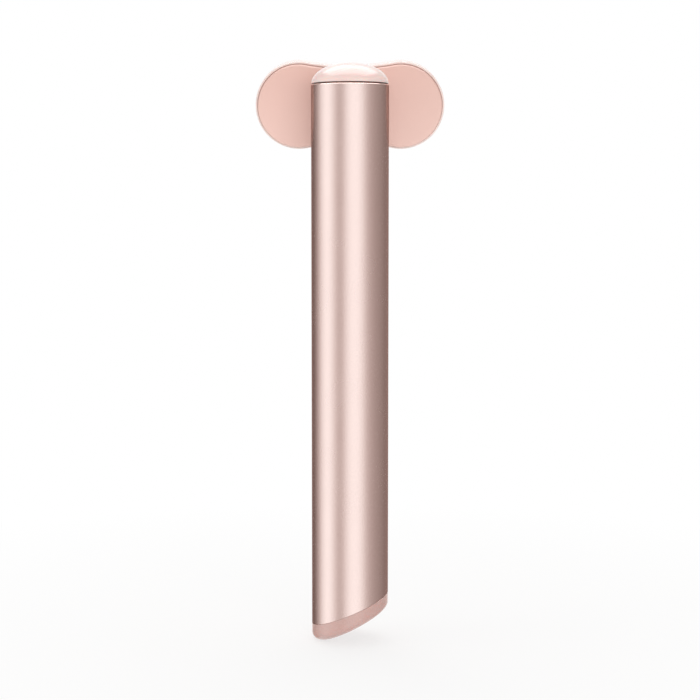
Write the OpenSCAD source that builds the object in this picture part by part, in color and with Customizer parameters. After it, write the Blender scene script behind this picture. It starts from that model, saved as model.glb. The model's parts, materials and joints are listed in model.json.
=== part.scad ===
// Heated eye massager wand: a round aluminium handle with an oblique lower end,
// and a flat two-lobed head that swivels on the front of its top.
// Millimetres, +Z up along the handle, treatment face towards -Y.
// The origin is on the handle's axis, at the middle of the grip.

/* [Handle tube] */
// Outer diameter of the handle tube
tube_d = 20; // [19:0.5:22]
// Wall of the handle tube
tube_wall = 1.2; // [1:0.1:1.4]
// From the middle of the grip down to the oblique cut, on the axis
grip_to_cut = 53; // [50:0.5:65]
// Slope of the tube's oblique cut, in degrees
cut_angle = 22.8; // [0:0.2:26]
// Bright chamfer round the top of the tube
rim_chamfer = 0.3; // [0.1:0.05:0.5]

/* [Top cap] */
// Height of the domed cap above the tube
dome_h = 5.6; // [4:0.1:8]
// Shadow gap between the cap and the tube
cap_seam = 0.25; // [0.15:0.05:0.5]
// Depth of the groove that makes the shadow gap
cap_seam_depth = 0.5; // [0.3:0.05:0.8]
// Wall of the cap
cap_wall = 1.3; // [1:0.1:1.8]
// How far the cap's skirt reaches into the tube
skirt_h = 2.8; // [2:0.1:3]

/* [End cap] */
// Height of the end cap's band on the axis
band_h = 4.6; // [4.2:0.1:7]
// Slope of the end cap's face, in degrees
tip_angle = 27; // [0:0.5:28]
// Rounding of the end cap's edge
tip_round = 2; // [0.8:0.1:2.4]
// How far the end cap's plug reaches above the cut, on the axis
plug_h = 9.5; // [9:0.1:12]
// Wall of the end cap's plug
plug_wall = 1.4; // [1:0.1:1.6]
// Floor of the end cap behind its face
cap_floor = 1.8; // [1.4:0.1:2.4]
// Thickness of the seal ring
seal_d = 1; // [0.8:0.05:1.2]

/* [Charging port] */
// Width of the charging socket
port_w = 8.94; // [8:0.02:9]
// Height of the charging socket
port_h = 3.26; // [3:0.02:3.4]
// Depth of the charging socket
port_depth = 7.3; // [6.5:0.1:7.5]
// Offset of the port up the slanted face, away from its middle
port_shift = 1.2; // [1:0.1:2]

/* [Inner frame] */
// Gap between the tube and the inner frame
frame_gap = 0.3; // [0.2:0.05:0.4]
// Wall of the inner frame and its cover
frame_wall = 1; // [0.8:0.1:1.2]
// Thickness of the frame's bulkheads
bulkhead_t = 1.6; // [1.2:0.1:2]
// Length of the battery cell
battery_len = 36; // [30:0.5:50]
// Length of the main board
board_len = 44; // [40:0.5:60]
// Thickness of the main board
board_t = 1; // [0.8:0.1:1.2]
// Diameter of the wires
wire_d = 0.65; // [0.5:0.05:0.7]

/* [Power button] */
// From the upper end of the main board down to the middle of the button
button_drop = 6.2; // [5.8:0.1:9]
// Diameter of the button
button_d = 8.5; // [7:0.1:9]
// Width of the bezel ring round the button
bezel_ring = 0.8; // [0.6:0.1:1]
// How far the button stands out of the tube
button_proud = 0.45; // [0.3:0.05:0.8]
// How far the bezel ring stands out of the tube
ring_proud = 0.2; // [0.1:0.05:0.3]
// Travel of the button
button_travel = 0.5; // [0.3:0.05:0.6]
// Distance between the status lights
light_pitch = 3.2; // [2.5:0.1:3.6]
// Diameter of the status lights
light_d = 1.1; // [0.8:0.1:1.4]

/* [Vibration motor] */
// Diameter of the motor
motor_d = 8; // [6:0.5:8]
// Length of the motor's can
motor_len = 12; // [10:0.5:12.5]
// Diameter of the motor's shaft
motor_shaft_d = 1; // [0.8:0.1:1.2]
// Radius of the eccentric weight
weight_r = 3.4; // [2.6:0.1:4]
// Length of the eccentric weight
weight_h = 3.6; // [3:0.1:5]
// Free length below the motor
motor_room = 1.2; // [1:0.1:12]
// Free length above the motor's shaft
weight_room = 3.6; // [3:0.1:8]

/* [Head] */
// Radius of the head's two lobes, at the back cover
lobe_r = 10.8; // [10:0.1:12]
// From the head's middle to the middle of each lobe
lobe_x = 13.5; // [12.6:0.1:15]
// How far the waist between the lobes is drawn in
waist_dip = 1.2; // [0.8:0.1:2]
// Tilt of the head: its face looks this much upwards, in degrees
head_pitch = 9; // [4:0.5:10]
// From the top of the tube down to the head's pivot
pivot_drop = 5; // [5:0.1:6.5]
// Gap between the tube and the back of the head, at the pivot
head_gap = 1.6; // [1.4:0.1:2.2]
// Height of the back cover's side
cover_t = 1.9; // [1.7:0.1:3]
// Wall of the back cover
cover_wall = 1.4; // [1.2:0.1:1.6]
// Rounding of the back cover's edge
cover_round = 0.6; // [0.4:0.1:1.2]
// Thickness of the seam between the back cover and the rim
head_seam = 0.3; // [0.2:0.05:0.5]
// Height of the rim
rim_t = 7.4; // [7.1:0.1:8.5]
// How far the rim stands out past the back cover
rim_out = 0.7; // [0.3:0.05:0.9]
// Wall of the rim
rim_wall = 1.8; // [1.6:0.1:2]
// Rounding of the rim's front edge
rim_round = 1.4; // [0.8:0.1:1.5]
// Width of the rim's front lip, beside the treatment plate
lip_w = 3.3; // [2.8:0.1:3.6]
// How far the treatment plate stands out of the rim
plate_proud = 0.6; // [0.3:0.05:1]
// Thickness of the treatment plate
plate_t = 1; // [0.8:0.1:1.2]

/* [Head lights] */
// Diameter of each light window in the treatment plate
lens_d = 1.9; // [1.4:0.1:2.2]
// Number of light windows round the middle one of each lobe
lens_count = 6; // [3:1:8]
// Radius of the ring of light windows
lens_ring_r = 4.8; // [3.6:0.1:5]

/* [Pivot] */
// Diameter of the hollow pivot shaft
shaft_d = 5.2; // [4.6:0.1:5.4]
// Diameter of the wire passage through the pivot shaft
shaft_bore_d = 2.6; // [2.2:0.1:3]
// Wall of the pivot bush
bush_wall = 0.96; // [0.8:0.02:1.1]
// From the foot of the pivot housing up to the pivot
housing_rise = 9.5; // [9.2:0.1:12]
// Length of the pivot housing along the pivot axis
pivot_len = 6.6; // [6:0.1:6.8]
// Diameter of the pivot housing's round nose
nose_d = 9.2; // [9:0.1:9.6]
// Diameter of the shaft's flange inside the head
flange_d = 12; // [11:0.2:13]

/* [Clearances] */
// Radial running clearance of the shaft in its bush
run_gap = 0.04; // [0.02:0.01:0.08]
// Gap between pieces that are fixed to each other
fix_gap = 0.05; // [0.03:0.01:0.08]
// Gap round the button
button_gap = 0.1; // [0.08:0.01:0.2]
// Gap round the key in the tube's notch
key_gap = 0.15; // [0.1:0.01:0.25]

/* [Hidden] */

$fn = 72;
arc_steps = 8;
dome_steps = 14;
tip_sides = 48;
over = 1;
far = 40;

// Small clearances
touch_gap = 0.02;
slide_gap = 0.15;
level_gap = 0.5;
cover_gap = 0.2;

// Handle: radii
tube_r = tube_d / 2;
bore_r = tube_r - tube_wall;
plug_r = bore_r - slide_gap;
frame_r = bore_r - frame_gap;
frame_in_r = frame_r - frame_wall;
inner_disc_r = frame_in_r - slide_gap;
battery_side_gap = 0.25;
battery_r = frame_in_r - wire_d - battery_side_gap;

// Handle: levels from the bottom up
cut_z = -grip_to_cut;
tip_z = cut_z - band_h;
plug_top_z = cut_z + plug_h;
plug_root = 0.5;
frame_z = plug_top_z + level_gap;
battery_z = frame_z + bulkhead_t + level_gap;
divider_z = battery_z + battery_len + level_gap;
board_end_gap = 1;
board_z = divider_z + bulkhead_t + board_end_gap;
board_top_z = board_z + board_len;
shelf_z = board_top_z + board_end_gap;
button_z = board_top_z - button_drop;
lights_drop = 4.45;
lights_z = button_z - button_d / 2 - bezel_ring - lights_drop;
lights_low_z = lights_z - 2 * light_pitch;
motor_z = shelf_z + bulkhead_t + motor_room;
motor_top_z = motor_z + motor_len;
weight_gap = 1;
weight_z = motor_top_z + weight_gap;
shaft_tip = 0.5;
shaft_top_z = weight_z + weight_h + shaft_tip;
base_t = 2;
frame_top_z = shaft_top_z + weight_room + base_t;
base_z = frame_top_z + cover_gap;
pivot_z = base_z + housing_rise;
top_z = pivot_z + pivot_drop;
pivot_y = -(tube_r + head_gap);

// Top cap
cap_inset = 0.1;
cap_notch_gap = 0.4;
skirt_gap = 0.4;

// Seal
seal_r = bore_r - touch_gap - seal_d / 2;
seal_drop = 2.7;
seal_z = plug_top_z - seal_drop;

// Port
socket_wall = 0.3;
port_recess = 0.3;
port_gap = 0.1;
tongue_t = 0.7;
tongue_w = 6.2;
tongue_inset = 1;
charge_board_w = 9.2;
charge_board_h = 4.6;
charge_board_t = 0.8;

// Frame
split_gap = 0.3;
cover_turn = 0.8;
cover_hole_gap = 0.4;
pipe_hole_gap = 0.25;

// Battery
cell_edge = 0.5;
pole_r = 2.5;
pole_h = 0.4;
pole_gap = 0.2;
tab_t = 0.15;
tab_w = 3;
tab_inset = 1.2;
tab_run = 1;

// Board and switch: distances from the handle's axis towards the front
board_depth = 5.1;
board_front = bore_r - board_depth;
board_side_gap = 0.22;
board_w = 2 * (sqrt(frame_in_r * frame_in_r - board_front * board_front) - board_side_gap);
chip_h = 0.9;
switch_w = 4.8;
switch_h = 1.3;
switch_floor = 0.1;
plunger_r = 1;
plunger_gap = 0.08;
plunger_out = button_travel + 0.1;
plunger_in = 0.6;
plunger_top = board_front + switch_h + plunger_out;
stem_wall = 0.4;
bezel_depth = 3;
bezel_back = tube_r - bezel_depth;
flange_drop = 0.4;
flange_front = bezel_back - flange_drop;
button_flange_t = 0.6;
button_hole_r = button_d / 2 + button_gap + bezel_ring + fix_gap;
led_w = 1.6;
led_d = 1;
led_h = 0.7;
led_gap = 0.1;

// Screws
screw_r = 0.7;
screw_head_r = 1.4;
screw_head_h = 0.8;
screw_play = 0.15;
board_shank = 4.5;
base_shank = 3.6;
flange_shank = 2.8;
post_r = 1.7;
low_post_rise = 5;
high_post_drop = 4.9;
post_heights = [board_z + low_post_rise, lights_low_z - high_post_drop];
base_screw_x = 5;
base_screw_y = 3.5;

// Chips on the back of the main board: [middle x, middle z, width, length]
chips_low_z = (post_heights[0] + post_heights[1]) / 2;
chips = [
    [-3.2, chips_low_z, 4, 4],
    [3.2, chips_low_z, 3, 3],
    [0, board_top_z - 18, 5, 5],
    [-3.4, board_top_z - 9, 3.2, 2.4],
    [3.4, board_top_z - 8, 3, 4]
];

// Motor
motor_r = motor_d / 2;
sleeve_wall = 1;
sleeve_len = motor_len * 3 / 4;
sleeve_z = motor_z + (motor_len - sleeve_len) / 2;
cradle_t = 1.6;
cradle_inset = 1;
motor_bore_depth = 8;
shaft_end_gap = 0.2;
boss_wall = 1;
boss_h = 0.6;
hub_wall = 0.6;

// Wires beside the battery, in the end cap and beside the motor
battery_wire_gap = 0.1;
battery_wire_r = battery_r + wire_d / 2 + battery_wire_gap;
battery_wire_turn = -45;
plug_wire_r = plug_r - plug_wall - wire_d - cover_gap;
plug_wire_run = 3;
wire_end_gap = 0.6;
motor_wire_x = 1.5;
lead_side_gap = 0.55;
lead_r = motor_r + sleeve_wall + wire_d / 2 + lead_side_gap;
lead_turn = -24;
lead_hole_r = 1.2;
lead_rise = 1.6;

// Head: levels along the pivot axis, from the back of the head towards its face
waist_h = lobe_r - waist_dip;
waist_margin = 1.2;
waist_reach = lobe_x - waist_margin;
waist_r = (waist_reach * waist_reach + waist_dip * waist_dip) / (2 * waist_dip);
waist_y = waist_h + waist_r;
cover_floor = 1.4;
pad_t = 1.2;
pad_top = cover_floor + pad_t;
pad_margin = 0.6;
pad_r = flange_d / 2 + pad_margin;
flange_t = 1;
flange_top = pad_top + flange_t;
pad_hole_floor = 0.6;
rim_back = cover_t + head_seam;
rim_front = rim_back + rim_t;
rim_edge = 0.25;
lip_t = 1.6;
lip_back = rim_front - lip_t;
gasket_out = 0.25;
gasket_lip = 0.1;
plate_front = rim_front + plate_proud;
plate_lip_t = 0.45;
plate_lip_gap = 0.1;
plate_round = 0.9;
plate_back = lip_back - fix_gap - plate_lip_t;
plate_gap = 0.1;
plate_edge = lip_w - rim_out + plate_gap;
pocket_wall = 1.5;
pocket_edge = plate_edge + pocket_wall;
film_t = 0.2;
film_gap = 0.2;
film_hole_gap = 0.35;
film_z = plate_front - plate_t - fix_gap - film_t;
thermistor_r = 0.7;
thermistor_h = 0.7;
led_board_t = 1;
led_board_gap = 0.4;
led_board_rise = 1;
led_board_z = flange_top + screw_head_h + led_board_rise;
led_board_top = led_board_z + led_board_t;
head_led_h = 0.8;
led_top = led_board_top + head_led_h;
lens_spots = [
    for (side = [-1, 1], i = [0:lens_count])
        i == 0 ? [side * lobe_x, 0]
        : [side * lobe_x + lens_ring_r * cos(360 * i / lens_count),
           lens_ring_r * sin(360 * i / lens_count)]
];
board_post_r = 1.1;
board_posts = [for (x = [-1, 1], y = [-1, 1]) [x * lobe_x * 0.68, y * lobe_r * 0.52]];

// Pivot: levels along the pivot axis, behind the head
shaft_r = shaft_d / 2;
bush_r = shaft_r + run_gap + bush_wall;
washer_gap = 0.06;
washer_t = 0.32;
bush_front = -(washer_gap + washer_t + touch_gap);
bush_flange_t = 0.6;
bush_flange_inset = 0.2;
nose_front = bush_front - bush_flange_t - touch_gap;
housing_back = nose_front - pivot_len;
housing_gap = 0.2;
wave_t = 0.45;
wave_inset = 0.3;
wave_back = housing_back - fix_gap - wave_t;
clip_t = 0.42;
clip_gap = 0.04;
clip_wall = 1.4;
clip_mouth = 2.4;
groove_depth = 0.5;
groove_front = wave_back - 0.1;
groove_back = groove_front - clip_t - 2 * clip_gap;
groove_r = shaft_r - groove_depth;
shaft_tail = 0.7;
shaft_back = groove_back - shaft_tail;
cable_side_gap = 0.4;
cable_r = shaft_bore_d / 2 - cable_side_gap;
cable_tail = 1.2;
cable_back = shaft_back - cable_tail;
twist_gap = 1.6;
notch_margin = 0.4;
notch_r = nose_d / 2 + notch_margin;
notch_z = pivot_z - notch_margin;
flange_screw_inset = 1.6;
flange_screw_r = flange_d / 2 - flange_screw_inset;

// Seen along the handle's front: x to the right, y up, z out towards the viewer
module on_front(z) {
    translate([0, 0, z])
        rotate([90, 0, 0])
            children();
}

// On the pivot axis: z points out of the treatment face, 0 is the back of the head
module on_pivot(t = 0) {
    translate([0, pivot_y, pivot_z])
        rotate([90 - head_pitch, 0, 0])
            translate([0, 0, t])
                children();
}

// In the slanted face of the end cap: z points into the handle
module on_port(depth = 0) {
    translate([0, 0, tip_z])
        rotate([0, tip_angle, 0])
            translate([-port_shift, 0, depth])
                children();
}

// Everything below a plane that crosses the axis at z and falls towards +X
module below_slope(z, angle) {
    translate([0, 0, z])
        rotate([0, angle, 0])
            translate([-far, -far, -2 * far])
                cube([2 * far, 2 * far, 2 * far]);
}

module ring(r_out, r_in, h) {
    difference() {
        cylinder(r = r_out, h = h);
        translate([0, 0, -over])
            cylinder(r = r_in, h = h + 2 * over);
    }
}

// A slot outline with round ends, w long along Y and h wide along X
module slot_outline(w, h) {
    polygon([
        for (end = [-1, 1], i = [0:arc_steps])
            let (a = end * 90 - 90 + 180 * i / arc_steps)
                [h / 2 * cos(a), end * (w - h) / 2 + h / 2 * sin(a)]
    ]);
}

module slot_block(w, h, depth) {
    linear_extrude(height = depth)
        slot_outline(w, h);
}

// Points of a quarter round of radius r about [x, y], from one angle to another
function quarter(x, y, r, from, to) = [
    for (i = [0:arc_steps])
        let (a = from + (to - from) * i / arc_steps)
            [x + r * cos(a), y + r * sin(a)]
];

// The side of a head layer, from its back to its front. x is the distance inwards from
// the back cover's outline, y the level. grow moves the side outwards.
function side_points(grow, t0, t1, round0, round1) = concat(
    round0 > 0 ? quarter(round0 - grow, t0 + round0, round0, 270, 180) : [[-grow, t0]],
    round1 > 0 ? quarter(round1 - grow, t1 - round1, round1, 180, 90) : [[-grow, t1]]
);

// A layer of the head: a slab with round ends, drawn in at the waist on both sides
module lobed(grow, t0, t1, round0 = 0, round1 = 0) {
    side = side_points(grow, t0, t1, round0, round1);
    last = len(side) - 1;
    difference() {
        union() {
            for (turn = [-90, 90])
                translate([turn < 0 ? lobe_x : -lobe_x, 0, 0])
                    rotate([0, 0, turn])
                        rotate_extrude(angle = 180)
                            polygon(concat(
                                [[0, t0]],
                                [for (p = side) [lobe_r - p[0], p[1]]],
                                [[0, t1]]
                            ));
            translate([-lobe_x, 0, 0])
                rotate([90, 0, 90])
                    linear_extrude(height = 2 * lobe_x)
                        polygon(concat(
                            [for (p = side) [lobe_r - p[0], p[1]]],
                            [for (i = [last:-1:0]) [side[i][0] - lobe_r, side[i][1]]]
                        ));
        }
        for (turn = [0, 180])
            rotate([0, 0, turn])
                translate([0, waist_y, 0])
                    rotate_extrude()
                        polygon(concat(
                            [[0, t0 - over], [waist_r + side[0][0], t0 - over]],
                            [for (p = side) [waist_r + p[0], p[1]]],
                            [[waist_r + side[last][0], t1 + over], [0, t1 + over]]
                        ));
    }
}

// A screw whose head sits on z = 0 and whose shank points down
module screw(shank) {
    difference() {
        union() {
            cylinder(r = screw_head_r, h = screw_head_h);
            translate([0, 0, -shank])
                cylinder(r = screw_r, h = shank + screw_head_h / 2);
        }
        translate([0, 0, screw_head_h / 2])
            cylinder(r = screw_r, h = screw_head_h, $fn = 6);
    }
}

// A wire through a list of points, with a ball at each bend
module wire(points) {
    for (i = [0:len(points) - 2])
        let (step = points[i + 1] - points[i], run = norm(step))
            translate(points[i])
                rotate([0, acos(step[2] / run), atan2(step[1], step[0])])
                    cylinder(d = wire_d, h = run, $fn = 24);
    if (len(points) > 2)
        for (i = [1:len(points) - 2])
            translate(points[i])
                sphere(d = wire_d * 1.15, $fn = 24);
}

function polar(r, a, z) = [r * cos(a), r * sin(a), z];

// The notch in the tube's top front edge, which lets the pivot housing's nose through
module notch_outline(r, top) {
    circle(r = r);
    translate([-r, 0])
        square([2 * r, top - notch_z]);
}

module handle_tube() {
    color("#D3ABA0")
        difference() {
            rotate_extrude()
                polygon([
                    [bore_r, cut_z - tube_r], [tube_r, cut_z - tube_r],
                    [tube_r, top_z - rim_chamfer], [tube_r - rim_chamfer, top_z],
                    [bore_r, top_z]
                ]);
            below_slope(cut_z, cut_angle);
            on_front(button_z)
                cylinder(r = button_hole_r, h = far);
            for (i = [0:2])
                on_front(lights_z - i * light_pitch)
                    cylinder(r = light_d / 2 + fix_gap, h = far);
            on_front(notch_z)
                translate([0, 0, bore_r / 2])
                    linear_extrude(height = far)
                        notch_outline(notch_r, top_z + over);
        }
}

module top_cap() {
    dome_r = tube_r - cap_inset;
    base = top_z + cap_seam;
    rise = dome_h - cap_seam;
    color("#F6DAD3")
        difference() {
            rotate_extrude()
                polygon(concat(
                    [for (i = [0:dome_steps])
                        let (a = 90 * i / dome_steps)
                            [dome_r * cos(a), base + rise * sin(a)]],
                    [for (i = [0:dome_steps])
                        let (a = 90 - 90 * i / dome_steps)
                            [(plug_r - cap_wall) * cos(a), base + (rise - cap_wall) * sin(a)]],
                    [
                        [plug_r - cap_wall, top_z - skirt_h], [plug_r, top_z - skirt_h],
                        [plug_r, top_z], [dome_r - cap_seam_depth, top_z],
                        [dome_r - cap_seam_depth, base]
                    ]
                ));
            on_front(top_z - far)
                translate([-notch_r - cap_notch_gap, 0, tube_r / 2])
                    cube([2 * (notch_r + cap_notch_gap), far, far]);
        }
}

module end_cap() {
    lift = 1 / cos(tip_angle);
    ball_r = tube_r - tip_round;
    color("#D8B1A9")
        difference() {
            union() {
                difference() {
                    hull() {
                        for (i = [0:tip_sides - 1])
                            translate(polar(ball_r, 360 * i / tip_sides, tip_z + tip_round * lift))
                                translate([0, 0, -ball_r * cos(360 * i / tip_sides) * tan(tip_angle)])
                                    sphere(r = tip_round, $fn = 20);
                        translate([0, 0, cut_z])
                            cylinder(r = tube_r, h = tube_r, $fn = tip_sides);
                    }
                    translate([0, 0, cut_z])
                        rotate([0, cut_angle, 0])
                            translate([-far, -far, 0])
                                cube(2 * far);
                }
                difference() {
                    translate([0, 0, cut_z - tube_r])
                        cylinder(r = plug_r, h = tube_r + plug_h);
                    below_slope(cut_z - plug_root, cut_angle);
                }
            }
            difference() {
                translate([0, 0, tip_z - tube_r])
                    cylinder(r = plug_r - plug_wall, h = far);
                below_slope(tip_z + cap_floor * lift, tip_angle);
            }
            translate([0, 0, seal_z - seal_d * 0.6])
                ring(tube_r, seal_r - seal_d / 2 - fix_gap, seal_d * 1.2);
            on_port(-over)
                slot_block(port_w + 2 * port_gap, port_h + 2 * port_gap, cap_floor + 2 * over);
        }
}

module end_cap_seal() {
    color("#2A2A2C")
        translate([0, 0, seal_z])
            rotate_extrude()
                translate([seal_r, 0])
                    circle(d = seal_d, $fn = 24);
}

// A cross wall of the inner frame, between the frame's back half and its cover
module cross_wall(z, h) {
    translate([0, 0, z]) {
        cylinder(r = inner_disc_r, h = h);
        intersection() {
            cylinder(r = frame_r - frame_wall / 2, h = h);
            translate([-far, split_gap, 0])
                cube([2 * far, far, h]);
        }
    }
}

module inner_frame() {
    color("#EDEBE6")
        difference() {
            union() {
                rotate_extrude(angle = 180)
                    translate([frame_in_r, frame_z])
                        square([frame_wall, frame_top_z - frame_z]);
                translate([0, 0, frame_z])
                    cylinder(r = frame_r, h = bulkhead_t);
                translate([0, 0, frame_top_z - base_t])
                    cylinder(r = frame_r, h = base_t);
                cross_wall(divider_z, bulkhead_t);
                cross_wall(shelf_z, bulkhead_t);
                for (z = [sleeve_z + cradle_inset, sleeve_z + sleeve_len - cradle_inset - cradle_t])
                    intersection() {
                        translate([0, 0, z])
                            ring(frame_r - frame_wall / 2, motor_r + sleeve_wall + fix_gap, cradle_t);
                        translate([-far, cradle_inset, z - over])
                            cube([2 * far, far, 2 * far]);
                    }
                for (z = post_heights)
                    on_front(z)
                        translate([0, 0, -frame_in_r - frame_wall / 2])
                            cylinder(
                                r = post_r,
                                h = frame_in_r + frame_wall / 2 + board_front - board_t - touch_gap
                            );
            }
            for (z = post_heights)
                on_front(z)
                    translate([0, 0, board_front - board_shank - level_gap])
                        cylinder(r = screw_r + touch_gap, h = far);
            for (side = [-1, 1])
                translate([side * base_screw_x, base_screw_y, frame_top_z - base_t - over])
                    cylinder(r = screw_r + touch_gap, h = base_t + 2 * over);
            for (side = [-1, 1])
                translate(polar(battery_wire_r, 90 + side * (90 - battery_wire_turn), frame_z - over))
                    cylinder(r = wire_d, h = board_z - frame_z + over);
            translate(polar(lead_r, lead_turn, shelf_z - over))
                cylinder(r = lead_hole_r, h = far);
            for (side = [-1, 1])
                translate([side * motor_wire_x, -board_front + board_t / 2, shelf_z - over])
                    cylinder(r = wire_d, h = bulkhead_t + 2 * over);
        }
}

module frame_cover() {
    z0 = frame_z + bulkhead_t + cover_gap;
    z1 = frame_top_z - base_t - cover_gap;
    color("#E4E2DD")
        difference() {
            rotate([0, 0, 180 + cover_turn])
                rotate_extrude(angle = 180 - 2 * cover_turn)
                    translate([frame_in_r, z0])
                        square([frame_wall, z1 - z0]);
            on_front(button_z)
                cylinder(r = button_hole_r + cover_hole_gap, h = far);
            for (i = [0:2])
                on_front(lights_z - i * light_pitch)
                    cylinder(r = light_d / 2 + pipe_hole_gap, h = far);
        }
}

module battery_cell() {
    pole_top = battery_len - pole_gap;
    can_top = pole_top - pole_h;
    color("#4C7FA8")
        translate([0, 0, battery_z])
            rotate_extrude()
                polygon([
                    [0, 0], [battery_r - cell_edge, 0], [battery_r, cell_edge],
                    [battery_r, can_top - cell_edge], [battery_r - cell_edge, can_top],
                    [pole_r, can_top], [pole_r, pole_top], [0, pole_top]
                ]);
}

module battery_tabs() {
    color("#C9C9CB")
        for (z = [battery_z - tab_t, battery_z + battery_len - pole_gap])
            translate([-tab_w / 2, tab_inset - battery_r, z])
                cube([tab_w, battery_r + tab_run, tab_t]);
}

module main_board() {
    color("#2F6B4F")
        difference() {
            translate([-board_w / 2, -board_front, board_z])
                cube([board_w, board_t, board_len]);
            for (z = post_heights)
                on_front(z)
                    cylinder(r = screw_r + screw_play, h = far);
        }
}

module board_chips() {
    color("#26262A")
        for (chip = chips)
            translate([chip[0] - chip[2] / 2, board_t - board_front, chip[1] - chip[3] / 2])
                cube([chip[2], chip_h, chip[3]]);
}

module board_screws() {
    color("#A9AAAE")
        for (z = post_heights)
            on_front(z)
                translate([0, 0, board_front + touch_gap])
                    screw(board_shank);
}

module switch_body() {
    color("#3A3A3E")
        on_front(button_z)
            difference() {
                translate([-switch_w / 2, -switch_w / 2, board_front])
                    cube([switch_w, switch_w, switch_h]);
                translate([0, 0, board_front + switch_floor])
                    cylinder(r = plunger_r + plunger_gap, h = switch_h);
            }
}

module switch_plunger() {
    color("#8C5B4E")
        on_front(button_z)
            translate([0, 0, plunger_top - plunger_out - plunger_in])
                cylinder(r = plunger_r, h = plunger_out + plunger_in);
}

module status_leds() {
    color("#F4F1E2")
        for (i = [0:2])
            on_front(lights_z - i * light_pitch)
                translate([-led_w / 2, -led_d / 2, board_front])
                    cube([led_w, led_d, led_h]);
}

module light_pipes() {
    color("#F7F3EF")
        for (i = [0:2])
            on_front(lights_z - i * light_pitch)
                translate([0, 0, board_front + led_h + led_gap])
                    cylinder(d = light_d, h = tube_r + touch_gap - board_front - led_h - led_gap);
}

module button_bezel() {
    color("#E2B7A8")
        intersection() {
            cylinder(r = tube_r + ring_proud, h = button_z + far);
            on_front(button_z)
                translate([0, 0, bezel_back])
                    ring(button_hole_r - fix_gap, button_d / 2 + button_gap, far);
        }
}

module button_cap() {
    color("#F3D3CB")
        union() {
            intersection() {
                cylinder(r = tube_r + button_proud, h = button_z + far);
                on_front(button_z)
                    translate([0, 0, flange_front - button_flange_t / 2])
                        cylinder(d = button_d, h = far);
            }
            on_front(button_z) {
                translate([0, 0, flange_front - button_flange_t])
                    cylinder(r = button_d / 2 + bezel_ring - button_gap, h = button_flange_t);
                translate([0, 0, plunger_top])
                    cylinder(r = plunger_r + stem_wall, h = flange_front - plunger_top - button_flange_t / 2);
            }
        }
}

module handle_wires() {
    lead_end = twist_gap - cable_back;
    color("#B23A34") {
        for (side = [-1, 1])
            let (a = 90 + side * (90 - battery_wire_turn))
                wire([
                    polar(plug_wire_r, a, plug_top_z - plug_wire_run),
                    polar(battery_wire_r, a, frame_z + bulkhead_t / 2),
                    polar(battery_wire_r, a, board_z - wire_end_gap)
                ]);
        for (side = [-1, 1])
            wire([
                [side * motor_wire_x, board_t / 2 - board_front, board_top_z],
                [side * motor_wire_x, board_t / 2 - board_front, motor_z]
            ]);
        wire([
            polar(lead_r, lead_turn, shelf_z - wire_end_gap),
            polar(lead_r, lead_turn, base_z + base_t + lead_rise),
            [0, pivot_y + lead_end * cos(head_pitch), pivot_z + cable_back * sin(head_pitch)]
        ]);
    }
}

module charge_socket() {
    color("#BFC0C3")
        on_port(port_recess)
            difference() {
                slot_block(port_w, port_h, port_depth);
                translate([0, 0, -over])
                    slot_block(
                        port_w - 2 * socket_wall, port_h - 2 * socket_wall,
                        port_depth - 2 * socket_wall + over
                    );
            }
}

module socket_tongue() {
    color("#1F1F22")
        on_port(port_recess + tongue_inset)
            translate([-tongue_t / 2, -tongue_w / 2, 0])
                cube([tongue_t, tongue_w, port_depth - 2 * socket_wall - tongue_inset]);
}

module charge_board() {
    color("#2F6B4F")
        on_port(port_recess + port_depth)
            translate([-charge_board_h / 2, -charge_board_w / 2, 0])
                cube([charge_board_h, charge_board_w, charge_board_t]);
}

module motor_can() {
    color("#B4B6BA")
        difference() {
            union() {
                translate([0, 0, motor_z])
                    cylinder(r = motor_r, h = motor_len);
                translate([0, 0, motor_top_z])
                    cylinder(r = motor_shaft_d / 2 + boss_wall, h = boss_h);
            }
            translate([0, 0, motor_top_z - motor_bore_depth])
                cylinder(r = motor_shaft_d / 2 + run_gap, h = far);
        }
}

module motor_sleeve() {
    color("#3B3B40")
        translate([0, 0, sleeve_z])
            ring(motor_r + sleeve_wall, motor_r + touch_gap, sleeve_len);
}

module motor_shaft() {
    color("#C8CACD")
        translate([0, 0, motor_top_z - motor_bore_depth + shaft_end_gap])
            cylinder(d = motor_shaft_d, h = shaft_top_z - motor_top_z + motor_bore_depth - shaft_end_gap);
}

module eccentric_weight() {
    color("#8E8A82")
        translate([0, 0, weight_z])
            difference() {
                union() {
                    rotate_extrude(angle = 180)
                        square([weight_r, weight_h]);
                    cylinder(r = motor_shaft_d / 2 + hub_wall, h = weight_h);
                }
                translate([0, 0, -over])
                    cylinder(r = motor_shaft_d / 2 + touch_gap / 2, h = weight_h + 2 * over);
            }
}

module pivot_housing() {
    key_r = notch_r - key_gap;
    color("#E9CFC6")
        difference() {
            union() {
                intersection() {
                    translate([0, 0, base_z])
                        cylinder(r = bore_r - housing_gap, h = top_z - skirt_h - skirt_gap - base_z);
                    on_pivot(housing_back)
                        translate([-far, -far, 0])
                            cube([2 * far, 2 * far, far]);
                }
                translate([0, 0, base_z])
                    cylinder(r = bore_r - housing_gap, h = base_t);
                intersection() {
                    cylinder(r = tube_r - fix_gap, h = 3 * far);
                    on_front(notch_z)
                        translate([0, 0, bore_r * 0.74])
                            linear_extrude(height = far)
                                notch_outline(key_r, top_z - cap_inset);
                }
                on_pivot(housing_back)
                    cylinder(d = nose_d, h = pivot_len);
            }
            on_pivot(housing_back - over)
                cylinder(r = bush_r + fix_gap / 2, h = far);
            for (side = [-1, 1])
                translate([side * base_screw_x, base_screw_y, base_z - over])
                    cylinder(r = screw_r + screw_play, h = base_t + 2 * over);
            translate(polar(lead_r, lead_turn, base_z - over))
                cylinder(r = lead_hole_r, h = base_t + 2 * over);
        }
}

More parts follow.
